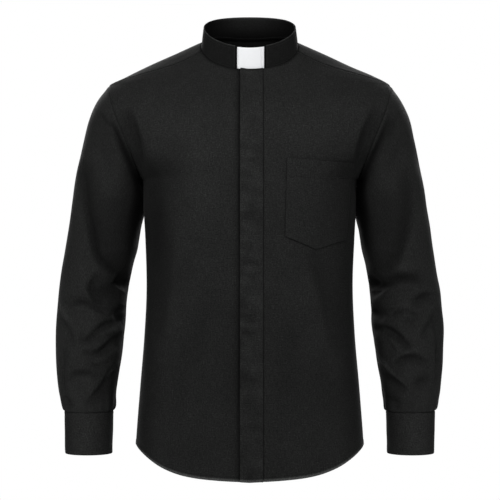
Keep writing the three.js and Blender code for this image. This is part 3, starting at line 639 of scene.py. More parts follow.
def leftFrontLevel(grid):
    rise = 1 - smooth((grid[..., 0] - fly["seam"]) / fly["fade"])
    level, shade = bodyLevel(grid, "front")
    return level + fly["lift"] * rise, shade


# A painted highlight along the edge of the turned hem.
def hemLight(distance):
    return -2.9 * smooth((5.5 - distance) / 3)


def seamDip(distance, deep=0.75):
    return 0.35 * hump(distance - 4.5, 3) - deep * hump(distance, 1.3)


def hemFold(distance, width, rise=0.45):
    turned = smooth((width + 0.8 - distance) / 1.6)
    return rise * turned - 0.25 * hump(distance - width + 1, 1.1)


# A front from its edge round to the side seam, and from the hem up to the neck and the yoke.
def frontGrid(side, edgeX, neckShare, columns):
    share = spread(columns, 260, False, True)
    startTurn = math.degrees(math.asin(side * edgeX / neck["halfWidth"]))
    top = np.where(
        (share <= neckShare)[:, None],
        neckPoint(mix(startTurn, neck["frontTurn"], np.clip(share / neckShare, 0, 1))),
        yokeSeamPoint(np.clip((share - neckShare) / (1 - neckShare), 0, 1)),
    )
    top = mirrored(top, side)

    def sideX(z):
        return mix(edgeX, side * torsoValue("halfWidth", z), np.sin(share * np.pi / 2))

    height = spread(30 * fine, 490, True, False)[:, None]
    z = mix(hemHeight(girthShare(sideX(hem["side"])), True), underarmPoint["z"], height)
    x = sideX(z)
    y = np.where(share == 1, torsoValue("middle", z), torsoY(x, z, True))
    low = points(x, y, z)
    height = spread(yokeFrontStep * fine, 175, False, True)[1:, None]
    edge = mirrored(armholePoint(yokeFrontStep * height[:, 0]), side)[:, None, :]
    seam = armholePoint(0)
    shiftX = edge[..., 0] - mix(side * seam[0], top[-1, 0], height)
    shiftZ = edge[..., 2] - mix(seam[2], top[-1, 2], height)
    x = mix(sideX(np.full(share.shape, float(underarmPoint["z"]))), top[:, 0], height) + shiftX * share
    z = mix(underarmPoint["z"], top[:, 2], height) + shiftZ * share
    high = points(x, torsoY(x, z, True), z)
    high[:, -1] = edge[:, 0]
    high[-1] = top
    return np.concatenate([low, high])


def backGrid(columns):
    share, side = bothHalves(columns, 275)
    height = spread(30 * fine, 505, True, False)[:, None]
    z = mix(hemHeight(share, False), underarmPoint["z"], height)
    x = side * torsoValue("halfWidth", z) * np.sin(share * np.pi / 2)
    low = points(x, np.where(share == 1, torsoValue("middle", z), torsoY(x, z, False)), z)
    stepsUp = armholeSteps - yokeBackStep
    step = armholeSteps - stepsUp * spread(stepsUp * fine, 140, False, True)[1:, None]
    edge = armholePoint(step)
    x = edge[..., 0] * side * np.sin(share * np.pi / 2)
    z = edge[..., 2] + 0 * share
    y = np.where(share == 1, edge[..., 1], torsoY(x, z, False))
    return np.concatenate([low, points(x, y, z)])


def yokeGrid(columns):
    share, side = bothHalves(columns, 330)
    start = np.where(
        (share >= 0.5)[:, None],
        yokeSeamPoint(np.clip(share * 2 - 1, 0, 1)),
        neckPoint(mix(180, neck["frontTurn"], np.clip(share * 2, 0, 1))),
    ) * np.stack([side, np.ones(len(side)), np.ones(len(side))], axis=1)
    backEdge = armholePoint(yokeBackStep)
    x = side * np.sin(share * np.pi / 2) * backEdge[0]
    end = points(x, torsoY(x, backEdge[2], False), backEdge[2])
    height = spread(8 * fine, 150, True, True)[:, None]
    edge = armholePoint(mix(yokeFrontStep, yokeBackStep, height[:, 0]))[:, None, :]
    outward = share**3
    shiftX = (edge[..., 0] - mix(start[-1, 0], end[-1, 0], height)) * outward * side
    shiftY = (edge[..., 1] - mix(start[-1, 1], end[-1, 1], height)) * outward
    grid = onTorso(mix(start[:, 0], end[:, 0], height) + shiftX, mix(start[:, 1], end[:, 1], height) + shiftY)
    grid[0], grid[-1] = start, end
    grid[:, 0], grid[:, -1] = mirrored(edge[:, 0], -1), edge[:, 0]
    return grid


# The outer and inner face of a wall at a level off the torso.
def walled(grid, level, thickness):
    normal = torsoNormal(grid)
    level = np.broadcast_to(level, grid.shape[:2])[..., None]
    thickness = np.broadcast_to(thickness, grid.shape[:2])[..., None]
    return grid + normal * level, grid + normal * (level - thickness)


# A body panel's wall, thicker along its hem where it is turned up and sewn.
def hemmedWall(word, grid, down, level):
    thickness = clothThickness + 0.9 * smooth((hem["turned"] + 1 - down) / 1.6)
    outer, inner = walled(grid, level + hemFold(down, hem["turned"]), thickness)
    sew(word, lineAt(outer, torsoNormal(grid), down, hem["turned"] - 1))
    return outer, inner


# Painted shadow: cloth lies in the collar's shadow close to its foot.
def collarShadow(grid):
    sideways = grid[..., 0] / neck["halfWidth"]
    away = np.sqrt(sideways**2 + ((grid[..., 1] - neck["middleY"]) / neck["halfDepth"]) ** 2) - 1
    return 2.2 * hump(away * 65, 2.8) * smooth((grid[..., 2] + 90) / 20)


# The right front runs in under the fly and is drawn down beside its free edge, where a shadow is painted on
# it.
def rightFront():
    grid = frontGrid(-1, fly["underlap"], 0.5, 76)
    across, down = arcs(grid)
    x, z = grid[..., 0], grid[..., 2]
    seams = np.minimum(across[:, -1:] - across, down[-1:] - down)
    beside = hump(x - fly["freeEdge"] + 2.5, 4.5) * smooth((-40 - z) / 20)
    # Painted shadow beside the fly's free edge.
    shadow = 2.3 * hump(x - fly["freeEdge"] + 0.6, 2.0) + 0.9 * hump(x - fly["freeEdge"], 7)
    level, shade = bodyLevel(grid, "front")
    outer, inner = hemmedWall("front_right", grid, down, level + seamDip(seams) - 1.6 * beside)
    shade = shade + shadow + collarShadow(grid) + hemLight(down)
    marks = {"seam": seams, "hem": down, "shade": shade}
    return shell("cloth_front_right", outer, inner, -across, down + grid[0, :, 2], marks=marks)


def leftFront():
    grid = frontGrid(1, fly["seam"] + seamGap, 5 / 12, 72)
    across, down = arcs(grid)
    seams = np.minimum(across[:, -1:] - across, down[-1:] - down)
    level, shade = leftFrontLevel(grid)
    outer, inner = hemmedWall("front_left", grid, down, level + seamDip(seams) - 0.5 * hump(across, 1.2))
    shade = shade + collarShadow(grid) + hemLight(down)
    marks = {"seam": np.minimum(seams, across + 0.2), "hem": down, "shade": shade}
    return shell("cloth_front_left", outer, inner, across, down + grid[0, :, 2], marks=marks)


def backPanel():
    grid = backGrid(84)
    across, down = arcs(grid)
    seams = np.minimum(fromSides(across), down[-1:] - down)
    level, shade = bodyLevel(grid, "back")
    outer, inner = hemmedWall("back", grid, down, level + seamDip(seams))
    marks = {"seam": seams, "hem": down, "shade": shade + hemLight(down)}
    return shell("cloth_back", outer, inner, across, down + grid[0, :, 2], marks=marks)


def yokePanel():
    grid = yokeGrid(110)
    across, down = arcs(grid)
    seams = fromRim(across, down)
    level = seamDip(seams, 0.6) + 0.5 * ripple(5, grid[..., 0], grid[..., 1], 0.8) * smooth(seams / 12)
    outer, inner = walled(grid, level, clothThickness)
    normal = torsoNormal(grid)
    front, back = lineAt(outer, normal, down, 1.8), lineAt(outer, normal, down, down[-1] - 1.8)
    onShoulder = np.abs(grid[0, :, 0]) > neckPoint(neck["frontTurn"])[0] + 2
    isLeft = grid[0, :, 0] > 0
    sew("yoke", front[onShoulder & isLeft], front[onShoulder & ~isLeft], back)
    marks = {"seam": seams, "hem": noHem, "shade": collarShadow(grid)}
    return shell("cloth_yoke", outer, inner, across, down, marks=marks)


# Faint buckles where the buttons pull under the fly.
flyBuckles = foldsOn(
    "front",
    (3.5, 0.7, 0.3, None, (-14, -374), (0, -371), (19, -375)),
    (3, 0.5, 0, None, (-14, -388), (2, -391), (19, -387)),
    (3.5, 0.7, -0.3, None, (-15, -455), (-2, -458), (18, -453)),
    (3, 0.6, 0.2, None, (-14, -468), (4, -466), (20, -470)),
    (4, 0.6, 0, None, (-15, -482), (0, -486), (12, -483)),
    (3.5, 0.5, 0, None, (-14, -288), (0, -291), (18, -287)),
    (3.5, 0.5, 0, None, (-14, -206), (4, -203), (18, -206)),
    (4, 0.6, 0.2, None, (-15, -560), (2, -563), (16, -559)),
    (4, 0.5, 0, None, (-15, -640), (0, -637), (18, -641)),
)


def flyPanel():
    width = fly["seam"] - fly["freeEdge"]
    share = spread(8, width, True, True)
    x = mix(fly["freeEdge"], fly["seam"], share)
    hemLine = hemHeight(girthShare(x), True) - fly["drop"]
    top = neckPoint(np.degrees(np.arcsin(x / neck["halfWidth"])))[:, 2] - seamGap
    z = mix(hemLine, top, spread(60 * fine, 640, True, True)[:, None])
    grid = points(x, torsoY(x, z, True), z)
    across, down = arcs(grid)
    wave = ripple(8, z * 1.0, x * 0.5, 0.8, 60, 160)
    edge = hump(across, 9) * smooth(down / 20)
    press, dark = foldDepth(flyBuckles, "front", grid[..., 0], grid[..., 2])
    pucker = ripple(23, x * 0.7 + 0 * z, z, 1, 15, 52) * (0.5 + 0.5 * smooth((-130 - z) / 90))
    level = np.maximum(0, bodyLevel(grid, "front")[0]) + seamGap + fly["thickness"]
    level = level + edge * (1.3 + wave) - press + 0.12 * pucker
    away = across[:, -1:] - across
    level = level - 0.5 * hump(away, 1.2) - 0.4 * hump(across, 0.9)
    level = level + hemFold(down, hem["turned"], 0.3)
    thin = fly["thickness"] - 0.3 * hump(across, 0.9)
    outer, inner = walled(grid, level, thin)
    normal = torsoNormal(grid)
    sew("fly", lineAt(outer, normal, across, across[:, -1] - 1.6, byRow=True),
        lineAt(outer, normal, down, hem["turned"] - 1))
    # Painted shade in the buckles, painted light and shade on the puckers, the whole fly painted a little
    # lighter, and the painted shade and highlight shared with the body.
    shade = 5.5 * dark - 0.3 * pucker - 0.16 + farFromLight(grid[..., 2])
    shade = shade + collarShadow(grid) + hemLight(down)
    marks = {"seam": away + 0.2, "hem": down, "shade": shade}
    return shell("cloth_fly", outer, inner, across, down + grid[0, :, 2], marks=marks)


def pocketGrid():
    share = spread(34, 110, True, True)
    height = spread(40, 135, True, True)[:, None]
    toTip = np.where(share <= 0.5, share * 2, 2 - share * 2)
    corner = np.where((share <= 0.5)[:, None], pocket["footIn"], pocket["footOut"])
    topX = mix(pocket["topIn"][0], pocket["topOut"][0], share)
    topZ = mix(pocket["topIn"][1], pocket["topOut"][1], share)
    x = mix(topX, mix(corner[:, 0], pocket["tip"][0], toTip), height)
    z = mix(topZ, mix(corner[:, 1], pocket["tip"][1], toTip), height)
    return points(x, torsoY(x, z, True), z)


def pocketPanel():
    grid = pocketGrid()
    across, down = arcs(grid)
    sides, foot = fromSides(across), down[-1:] - down
    flat = smooth(np.minimum(sides, foot) / 2.2)
    level, shade = leftFrontLevel(grid)
    level = level + clothThickness + 0.15 + 0.55 * flat
    hemLine = np.abs(down - pocket["hem"])
    level = level + 0.3 * smooth((pocket["hem"] - down) / 1.5) - 0.35 * hump(hemLine, 1.2)
    level = level + flat * 0.5 * ripple(9, grid[..., 0], grid[..., 2], 0.8, 40, 110)
    outer, inner = walled(grid, level, clothThickness)
    normal = torsoNormal(grid)
    rows = down[:, 0] < down[-1, 0] - 1.6
    columns = slice(2, -2)
    sew("pocket", lineAt(outer, normal, across, 1.6, byRow=True)[rows],
        lineAt(outer, normal, across, across[:, -1] - 1.6, byRow=True)[rows],
        lineAt(outer, normal, down, down[-1] - 1.6)[columns],
        lineAt(outer, normal, down, pocket["hem"] - 1.4)[columns])
    # Painted shade along the pocket's rim and its hem's stitch line, a little weaker on its foot, on top of
    # the front's painted shade.
    seams = np.minimum(np.minimum(sides + 0.1, foot + 0.6), np.minimum(down + 0.2, hemLine + 0.3))
    marks = {"seam": seams, "hem": noHem, "shade": shade}
    return shell("cloth_pocket", outer, inner, across, -down, marks=marks)


# How far the folds press in on a sleeve, and how much shade is painted in them.
def sleevePress(side, folds, ring, step):
    where = sleevePoint(ring, step)
    turn = 2 * np.pi * step / armholeSteps
    ends = smooth(ring / 1.6) * smooth((lastRing - 0.15 - ring) / 1.3)
    facing = smooth((np.abs(np.sin(turn)) + 0.1) / 0.5)
    frontShare = smooth((np.sin(turn) + 0.15) / 0.3)
    front, frontDark = foldDepth(folds, "front", side * where[..., 0], where[..., 2])
    back, backDark = foldDepth(folds, "back", side * where[..., 0], where[..., 2])
    dark = smooth((ring + 0.2) / 0.8) * mix(backDark, frontDark, frontShare)
    return ends * facing * mix(back, front, frontShare), dark


# Each sleeve hangs a little its own way; millimetres further out from the body, down its two sides.
sleeveHang = {
    1: table(
        "at inner outer", (0, 0, 0), (1.2, -1.6, -0.3), (2.6, -1.2, 0), (3.5, -0.6, -1.8), (4.3, -0.5, 0),
        (5.3, -1.0, 0), (6, -0.8, -0.6), (7, -0.8, -1.6), (8, -2.2, 0), (9.5, -2.2, 0.8), (11, -1.8, -0.2),
        (12.5, -0.6, -1), (13.5, -1.8, 1.2), (14, -0.6, 0),
    ),
    -1: table(
        "at inner outer", (0, 0, 0), (1.2, -1.6, 0.6), (2.6, -1.4, 1.4), (3.5, -0.5, 1.5), (4.8, 0, 2.2),
        (5.4, -1.2, 0.6), (6, 0.2, 0.8), (7, 0.4, 1.4), (8, 1.4, 1.2), (9.5, 1.4, 0), (11, 0.6, 0.5),
        (12.5, 0.4, 0.8), (13.5, -1.5, 1.2), (14, -0.5, 0),
    ),
}


def sleeveShift(side, ring, step):
    away = (1 - np.cos(2 * np.pi * step / armholeSteps)) / 2
    hang = sleeveHang[side]
    return points(mix(tableValue(hang, "inner", ring), tableValue(hang, "outer", ring), away), 0, 0)


# Painted shade on each sleeve's side turned toward the body ("inner"), and painted light on its forearm
# ("low").
sleeveShade = {1: {"inner": 0.47, "low": 0}, -1: {"inner": 0.97, "low": 0.22}}


def sleevePanel(side, word, folds):
    ring = lastRing * spread(190, 470, True, True)[:, None]
    step = np.linspace(0, armholeSteps, armholeSteps * 6, endpoint=False)
    ring, step = np.broadcast_arrays(ring, step)
    grid = sleevePoint(ring, step) + sleeveShift(side, ring, step)
    normal = sleeveNormal(ring, step)
    across, down = arcs(grid)
    toCuff = down[-1:] - down
    turn = 2 * np.pi * step / armholeSteps
    edge = armholePoint(step)
    body = torsoNormal(edge)
    toBody = hump(down, 2.5)[..., None]
    normal = unit(normal * (1 - 0.5 * toBody) + 0.5 * body * toBody)
    drift = ripple(11 + side, across, down * 0.8, 0.8, 40, 120) * smooth(ring / 1.5)
    pleat = np.sin(turn * 19 + 1.3 * np.sin(turn * 3 + side)) * (0.55 + 0.45 * np.sin(turn * 2 + 1 + side))
    gathers = 1.1 * pleat * np.exp(-toCuff / 17) * smooth(toCuff / 4)
    seams = np.minimum(down, toCuff)
    press, dark = sleevePress(side, folds, ring, step)
    level = drift * 0.7 + gathers + seamDip(seams, 0.6) - press
    underarm = np.minimum(across, across[:, -1:] + across[:, 1:2] - across)
    level = (level - 0.5 * hump(underarm, 1.3))[..., None]
    outer = mirrored(grid + normal * level, side)
    inner = mirrored(grid + normal * (level - clothThickness), side)
    # Painted shade: darker on the side turned toward the body and deep in the armpit, the gathers painted
    # lighter on their ridges and darker in their troughs, the forearm and the whole sleeve painted a little
    # lighter, and the fold shade from sleevePress.
    inward = np.cos(turn)
    toward = sleeveShade[side]["inner"] * smooth((inward - 0.08) / 0.65) * (1 - 0.35 * smooth((ring - 6) / 3))
    toward = toward + 1.8 * smooth((inward - 0.74) / 0.22)
    pit = 6.5 * hump(ring - 2.8, 2.0) * smooth((inward - 0.58) / 0.36)
    pit = pit + 1.2 * hump(ring - 1.6, 1.6) * smooth((inward - 0.3) / 0.5)
    low = sleeveShade[side]["low"] * smooth((ring - 8) / 2)
    marks = {
        "seam": np.minimum(np.minimum(down + 0.3, toCuff + 0.5), underarm + 0.4),
        "hem": noHem,
        "shade": dark - gathers / 5 + toward + pit - low - 0.05,
    }
    return shell("cloth_sleeve_" + word, outer, inner, across, -down, isTube=True, marks=marks)


def sleevePlacketPanel(side, word, folds):
    share = spread(5, sleevePlacket["width"], True, True)
    height = spread(44, sleevePlacket["length"], True, True)[:, None]
    ring = sleevePlacket["endRing"] - sleevePlacket["length"] / sleevePlacket["ringSpacing"] * height
    girth = 6.2 * tableValue(sleeveRows, "halfDepth", ring)
    step = (sleevePlacket["turn"] + (share - 0.5) * 360 * sleevePlacket["width"] / girth) / 360 * armholeSteps
    ring, step = np.broadcast_arrays(ring, step)
    grid, normal = sleevePoint(ring, step) + sleeveShift(side, ring, step), sleeveNormal(ring, step)
    across, down = arcs(grid)
    rim = fromRim(across, down)
    level = clothThickness + 0.4 - sleevePress(side, folds, ring, step)[0] - 0.4 * hump(rim, 0.9)
    outer = mirrored(grid + normal * level[..., None], side)
    inner = mirrored(grid + normal * (level - clothThickness)[..., None], side)
    facing = mirrored(normal, side)
    inset = 1.6
    rows = (down[:, 0] > inset) & (down[:, 0] < down[-1, 0] - inset)
    columns = slice(2, -2)
    sew("sleeve_placket_" + word, lineAt(outer, facing, across, inset, byRow=True)[rows],
        lineAt(outer, facing, across, across[:, -1] - inset, byRow=True)[rows],
        lineAt(outer, facing, down, down[-1] - inset)[columns])
    marks = {"seam": rim + 0.3, "hem": noHem, "shade": 0}
    return shell("cloth_sleeve_placket_" + word, outer, inner, across, down, marks=marks)


def cuffPanel(side, word):
    turn = cuff["lapStart"] + (360 + cuff["lap"]) * spread(150, 280, True, True)
    height = spread(22, cuff["height"], True, True)[:, None]
    turn, height = np.broadcast_arrays(turn, height)
    across, down = arcs(cuffPoint(turn, height, 0))
    rim = fromRim(across, down)
    level = cuffLevel(turn) - 0.45 * hump(rim, 1.0) - 0.22 * hump(rim - 6, 1.0)
    level = level + 0.25 * ripple(17 + side, across, down, 0.9, 30, 90) * smooth(rim / 8)
    outer = mirrored(cuffPoint(turn, height, level), side)
    inner = mirrored(cuffPoint(turn, height, cuffLevel(turn) - cuffThickness), side)
    facing = unit(outer - mirrored(cuffPoint(turn, height, -20), side))
    rows = (down[:, 0] > 1.5) & (down[:, 0] < down[-1, 0] - 6)
    sew("cuff_" + word, lineAt(outer, facing, down, 1.5), lineAt(outer, facing, down, down[-1] - 6),
        lineAt(outer, facing, across, across[:, -1] - 6, byRow=True)[rows])
    # Painted shade toward the cuff's two sides and more on its side by the body; the rest painted a little
    # lighter.
    sideways = np.cos(np.radians(turn))
    shade = 1.1 * smooth((np.abs(sideways) - 0.4) / 0.6) + 0.5 * smooth(sideways * 2) - 0.38
    marks = {"seam": np.minimum(down + 0.6, np.abs(rim - 6) + 0.6), "hem": noHem, "shade": shade}
    return shell("cloth_cuff_" + word, outer, inner, across, -down, marks=marks)


# The outer and inner face of a strip on the collar band, levels measured inward.
def bandLayers(turn, height, level, thickness):
    place, inward = bandPoint(turn, height), bandInward(turn)
    outer = place + inward * np.asarray(level)[..., None]
    return outer, place + inward * np.asarray(level + thickness)[..., None]


def collarBand():
    height = spread(16, 40, True, True)[:, None]
    radius = mix(neck["halfWidth"], bandTop["halfWidth"], height)
    first = np.degrees(np.arcsin(bandEnds["left"] / radius))
    last = 360 - np.degrees(np.arcsin(bandEnds["right"] / radius))
    turn = mix(first, last, spread(230, 400, True, True))
    height = height + 0 * turn
    across, down = arcs(bandPoint(turn, height))
    toEnd = fromSides(across)
    toTop = down[-1:] - down
    rim = np.minimum(np.minimum(toEnd - 3.2, toTop), down)
    slot = 1 - smooth((toEnd - 2.4) / 0.8)
    level = 0.9 * slot - 0.2 * hump(rim, 0.8) + 0.2 * hump(toTop - 1.8, 0.9)
    level = level + 0.15 * hump(toTop - 6, 1.0) + 0.5 * hump(down, 1.3)
    level = level - 0.25 * ripple(21, across, down, 0.8, 40, 120) * smooth(rim / 8)
    outer, inner = bandLayers(turn, height, level, bandThickness - level)
    facing = -bandInward(turn)
    inside = slice(6, -6)
    sew("collar", lineAt(outer, facing, down, down[-1] - 5)[inside], lineAt(outer, facing, down, 3)[inside],
        lineAt(inner, -facing, down, 3)[inside])
    # Painted shade in the slots at the band's ends, and painted highlights along its top rim and beside its
    # ends.
    rimLight = -2.5 * hump(toTop, 1.1) - 1.3 * hump(toEnd - 4.2, 0.9)
    marks = {"seam": np.minimum(np.abs(rim - 5) + 0.9, down), "hem": noHem, "shade": slot * 3 + rimLight}
    # The inner face is painted in light and shade: light at the upper back and along its top rim there, shade
    # toward the sides and the foot.
    lit = hump(turn - 180, 41) * smooth(height / 0.9)
    insideShade = 1.65 - 2.43 * lit - 2.8 * lit * hump(toTop - 1.5, 2.0)
    return shell("cloth_collar", outer, inner, across, down, marks=marks, insideShade=insideShade)


def collarTab():
    turn = np.linspace(-26, 26, 61)
    height = mix(0.05, 0.97, spread(14, 36, True, True))[:, None]
    turn, height = np.broadcast_arrays(turn, height)
    across, down = arcs(bandPoint(turn, height))
    rim = np.minimum(down, down[-1:] - down)
    forward = 1.5 * smooth((15.0 - np.abs(turn)) / 1.6)
    level = bandThickness + seamGap - forward + 0.3 * hump(rim, 1.0)
    outer, inner = bandLayers(turn, height, level, tabThickness)
    return shell("collar_tab_white", outer, inner, across, down)


# A cuff button: a shallow dish with four holes and crossed thread.
def roundButton(side, word):
    r, t = cuffButton["radius"], cuffButton["thickness"]
    profile = [(0, 0), (r - 0.5, 0), (r, 0.5), (r, t - 0.6), (r - 0.3, t - 0.15), (r - 0.9, t),
               (r - 1.5, t - 0.1), (r - 2.2, t - 0.7), (0, t - 0.9)]
    seat = mirrored(cuffPoint(cuffButton["turn"], cuffButton["height"], cuffThickness + cuff["lapGap"]), side)
    turn = math.radians(cuffButton["turn"])
    outward = Vector((-math.cos(turn) * side, -math.sin(turn), 0))
    across = Vector((0, 0, 1)).cross(outward)
    shape = bmesh.new()
    rings = []
    for radius, height in profile:
        count = 1 if radius == 0 else 32
        rings.append([shape.verts.new(
            Vector(seat) + outward * (cuffButton["gap"] + height)
            + across * (radius * math.cos(2 * math.pi * i / count))
            + Vector((0, 0, radius * math.sin(2 * math.pi * i / count)))
        ) for i in range(count)])
    for low, high in zip(rings, rings[1:]):
        for i in range(32):
            j = (i + 1) % 32
            corners = [low[i % len(low)], low[j % len(low)], high[j % len(high)], high[i % len(high)]]
            shape.faces.new(list(dict.fromkeys(corners)))
    bmesh.ops.scale(shape, vec=(mm, mm, mm), verts=shape.verts)
    mesh = bpy.data.meshes.new("button_" + word)
    shape.to_mesh(mesh)
    shape.free()
    button = addPiece("button_" + word, mesh)
    centre = Vector(seat) + outward * (cuffButton["gap"] + t - 0.9)
    holes = [centre + across * (1.3 * a) + Vector((0, 0, 1.3 * b)) for a in (-1, 1) for b in (-1, 1)]
    bores = bmesh.new()
    for hole in holes:
        turned = outward.to_track_quat("Z", "Y").to_matrix().to_4x4()
        turned.translation = hole * mm
        bmesh.ops.create_cone(bores, cap_ends=True, segments=12, radius1=0.55 * mm, radius2=0.55 * mm,
                              depth=1.8 * mm, matrix=turned)
    boreMesh = bpy.data.meshes.new("bores")
    bores.to_mesh(boreMesh)
    bores.free()
    tool = bpy.data.objects.new("bores", boreMesh)
    bpy.context.scene.collection.objects.link(tool)
    cut = button.modifiers.new("holes", "BOOLEAN")
    cut.object, cut.operation, cut.solver = tool, "DIFFERENCE", "EXACT"
    whole = bpy.data.meshes.new_from_object(button.evaluated_get(bpy.context.evaluated_depsgraph_get()))
    button.modifiers.clear()
    button.data = whole
    bpy.data.objects.remove(tool)
    return button, holes, outward


# Crossed thread through the four holes of a button.
def buttonThread(word, holes, outward):
    shape = bmesh.new()
    for start, end in ((holes[0], holes[3]), (holes[1], holes[2])):
        side = (end - start).cross(outward).normalized()
        path = [start.lerp(end, t) + outward * (0.75 * math.sin(math.pi * t) ** 0.5 - 0.4)
                for t in np.linspace(0, 1, 11)]
        rings = []
        for i, centre in enumerate(path):
            along = (path[min(i + 1, 10)] - path[max(i - 1, 0)]).normalized()
            up = along.cross(side)
            rings.append([shape.verts.new(centre + 0.3 * (side * math.cos(a) + up * math.sin(a)))
                          for a in np.linspace(0, 2 * math.pi, 8, endpoint=False)])
        for low, high in zip(rings, rings[1:]):
            for i in range(8):
                shape.faces.new([low[i], low[(i + 1) % 8], high[(i + 1) % 8], high[i]])
        shape.faces.new(rings[0])
        shape.faces.new(rings[-1][::-1])
    bmesh.ops.scale(shape, vec=(mm, mm, mm), verts=shape.verts)
    mesh = bpy.data.meshes.new("button_thread_" + word)
    shape.to_mesh(mesh)
    shape.free()
    return addPiece("button_thread_" + word, mesh)


# A node with its inputs, each one a value or a link.
def add(tree, kind, inputs=None, **settings):
    made = tree.nodes.new(kind)
    for name, value in settings.items():
        setattr(made, name, value)
    for name, value in (inputs or {}).items():
        if isinstance(value, bpy.types.NodeSocket):
            tree.links.new(value, made.inputs[name])
        else:
            made.inputs[name].default_value = value
    return made


def newGroup(name, inputs, outputs):
    tree = bpy.data.node_groups.new(name, "ShaderNodeTree")
    for label, kind in inputs:
        tree.interface.new_socket(label, in_out="INPUT", socket_type="NodeSocket" + kind)
    for label in outputs:
        tree.interface.new_socket(label, in_out="OUTPUT", socket_type="NodeSocketFloat")
    return tree, tree.nodes.new("NodeGroupInput").outputs, tree.nodes.new("NodeGroupOutput")


def calc(tree, operation, a, b=0.0):
    return add(tree, "ShaderNodeMath", {0: a, 1: b}, operation=operation).outputs[0]


# A value taken from one range to another.
def ranged(tree, value, start, end, least, most, **settings):
    given = {"Value": value, "From Min": start, "From Max": end, "To Min": least, "To Max": most}
    return add(tree, "ShaderNodeMapRange", given, **settings).outputs[0]


def streaks(tree, place, size):
    scaled = add(tree, "ShaderNodeVectorMath", {0: place, 1: size}, operation="MULTIPLY").outputs[0]
    return add(tree, "ShaderNodeTexNoise", {"Vector": scaled, "Scale": 1.0, "Detail": 2.0}).outputs[0]


# Fine plain weave with uneven yarns both ways; the place is in metres of cloth.
def clothWeaveGroup():
    tree, given, result = newGroup(
        "clothWeave", [("Place", "Vector"), ("Streak", "Float")], ["Tone", "Height"])
    place = given["Place"]
    upright = streaks(tree, place, (520, 80, 1))
    level = streaks(tree, place, (80, 520, 1))
    speckle = streaks(tree, place, (460, 480, 1))
    patchy = streaks(tree, place, (24, 17, 1))
    yarn = calc(tree, "ADD", calc(tree, "MULTIPLY", upright, 0.32), calc(tree, "MULTIPLY", level, 0.22))
    yarn = calc(tree, "ADD", yarn, calc(tree, "MULTIPLY", speckle, 0.86))
    yarn = calc(tree, "MULTIPLY", calc(tree, "SUBTRACT", yarn, 0.7), given["Streak"])
    soft = calc(tree, "ADD", calc(tree, "MULTIPLY", calc(tree, "SUBTRACT", patchy, 0.5), 0.35), 0.93)
    tone = calc(tree, "MULTIPLY", calc(tree, "EXPONENT", yarn), soft)
    axes = add(tree, "ShaderNodeSeparateXYZ", {0: place}).outputs
    warp = calc(tree, "SINE", calc(tree, "MULTIPLY", axes["X"], 12566))
    weft = calc(tree, "SINE", calc(tree, "MULTIPLY", axes["Y"], 12566))
    height = calc(tree, "ADD", calc(tree, "MULTIPLY", calc(tree, "MULTIPLY", warp, weft), 0.5), yarn)
    tree.links.new(tone, result.inputs["Tone"])
    tree.links.new(height, result.inputs["Height"])
    return tree


# Seams and stitch lines: painted shade along them, standing in for the shadow in their grooves, and drawn in
# by a bump; the Shade and Inside marks paint further shade, or light where Shade is negative; distances are
# in millimetres.
def seamGroup():
    tree, given, result = newGroup(
        "seamLinesAndShade",
        [("Seam", "Float"), ("Hem", "Float"), ("Turned", "Float"), ("Shade", "Float"), ("Inside", "Float")],
        ["Tone", "Height"])
    near = ranged(tree, given["Seam"], 0.2, 1.5, 0.5, 1.0, interpolation_type="SMOOTHSTEP")
    away = calc(tree, "ABSOLUTE", calc(tree, "SUBTRACT", given["Hem"], given["Turned"]))
    sewn = ranged(tree, away, 0.1, 1.0, 0.7, 1.0, interpolation_type="SMOOTHSTEP")
    lines = calc(tree, "MULTIPLY", near, sewn)
    dim = calc(tree, "EXPONENT", calc(tree, "MULTIPLY", given["Shade"], -0.5))
    insideShade = calc(tree, "SUBTRACT", 1.0, calc(tree, "MULTIPLY", given["Inside"], 0.55))
    dim = calc(tree, "MULTIPLY", dim, insideShade)
    tree.links.new(calc(tree, "MULTIPLY", lines, dim), result.inputs["Tone"])
    tree.links.new(lines, result.inputs["Height"])
    return tree


def newMaterial(name):
    material = bpy.data.materials.new(name)
    material.use_nodes = True
    tree = material.node_tree
    shader = tree.nodes["Principled BSDF"]
    return material, tree, shader


weave, seams = clothWeaveGroup(), seamGroup()


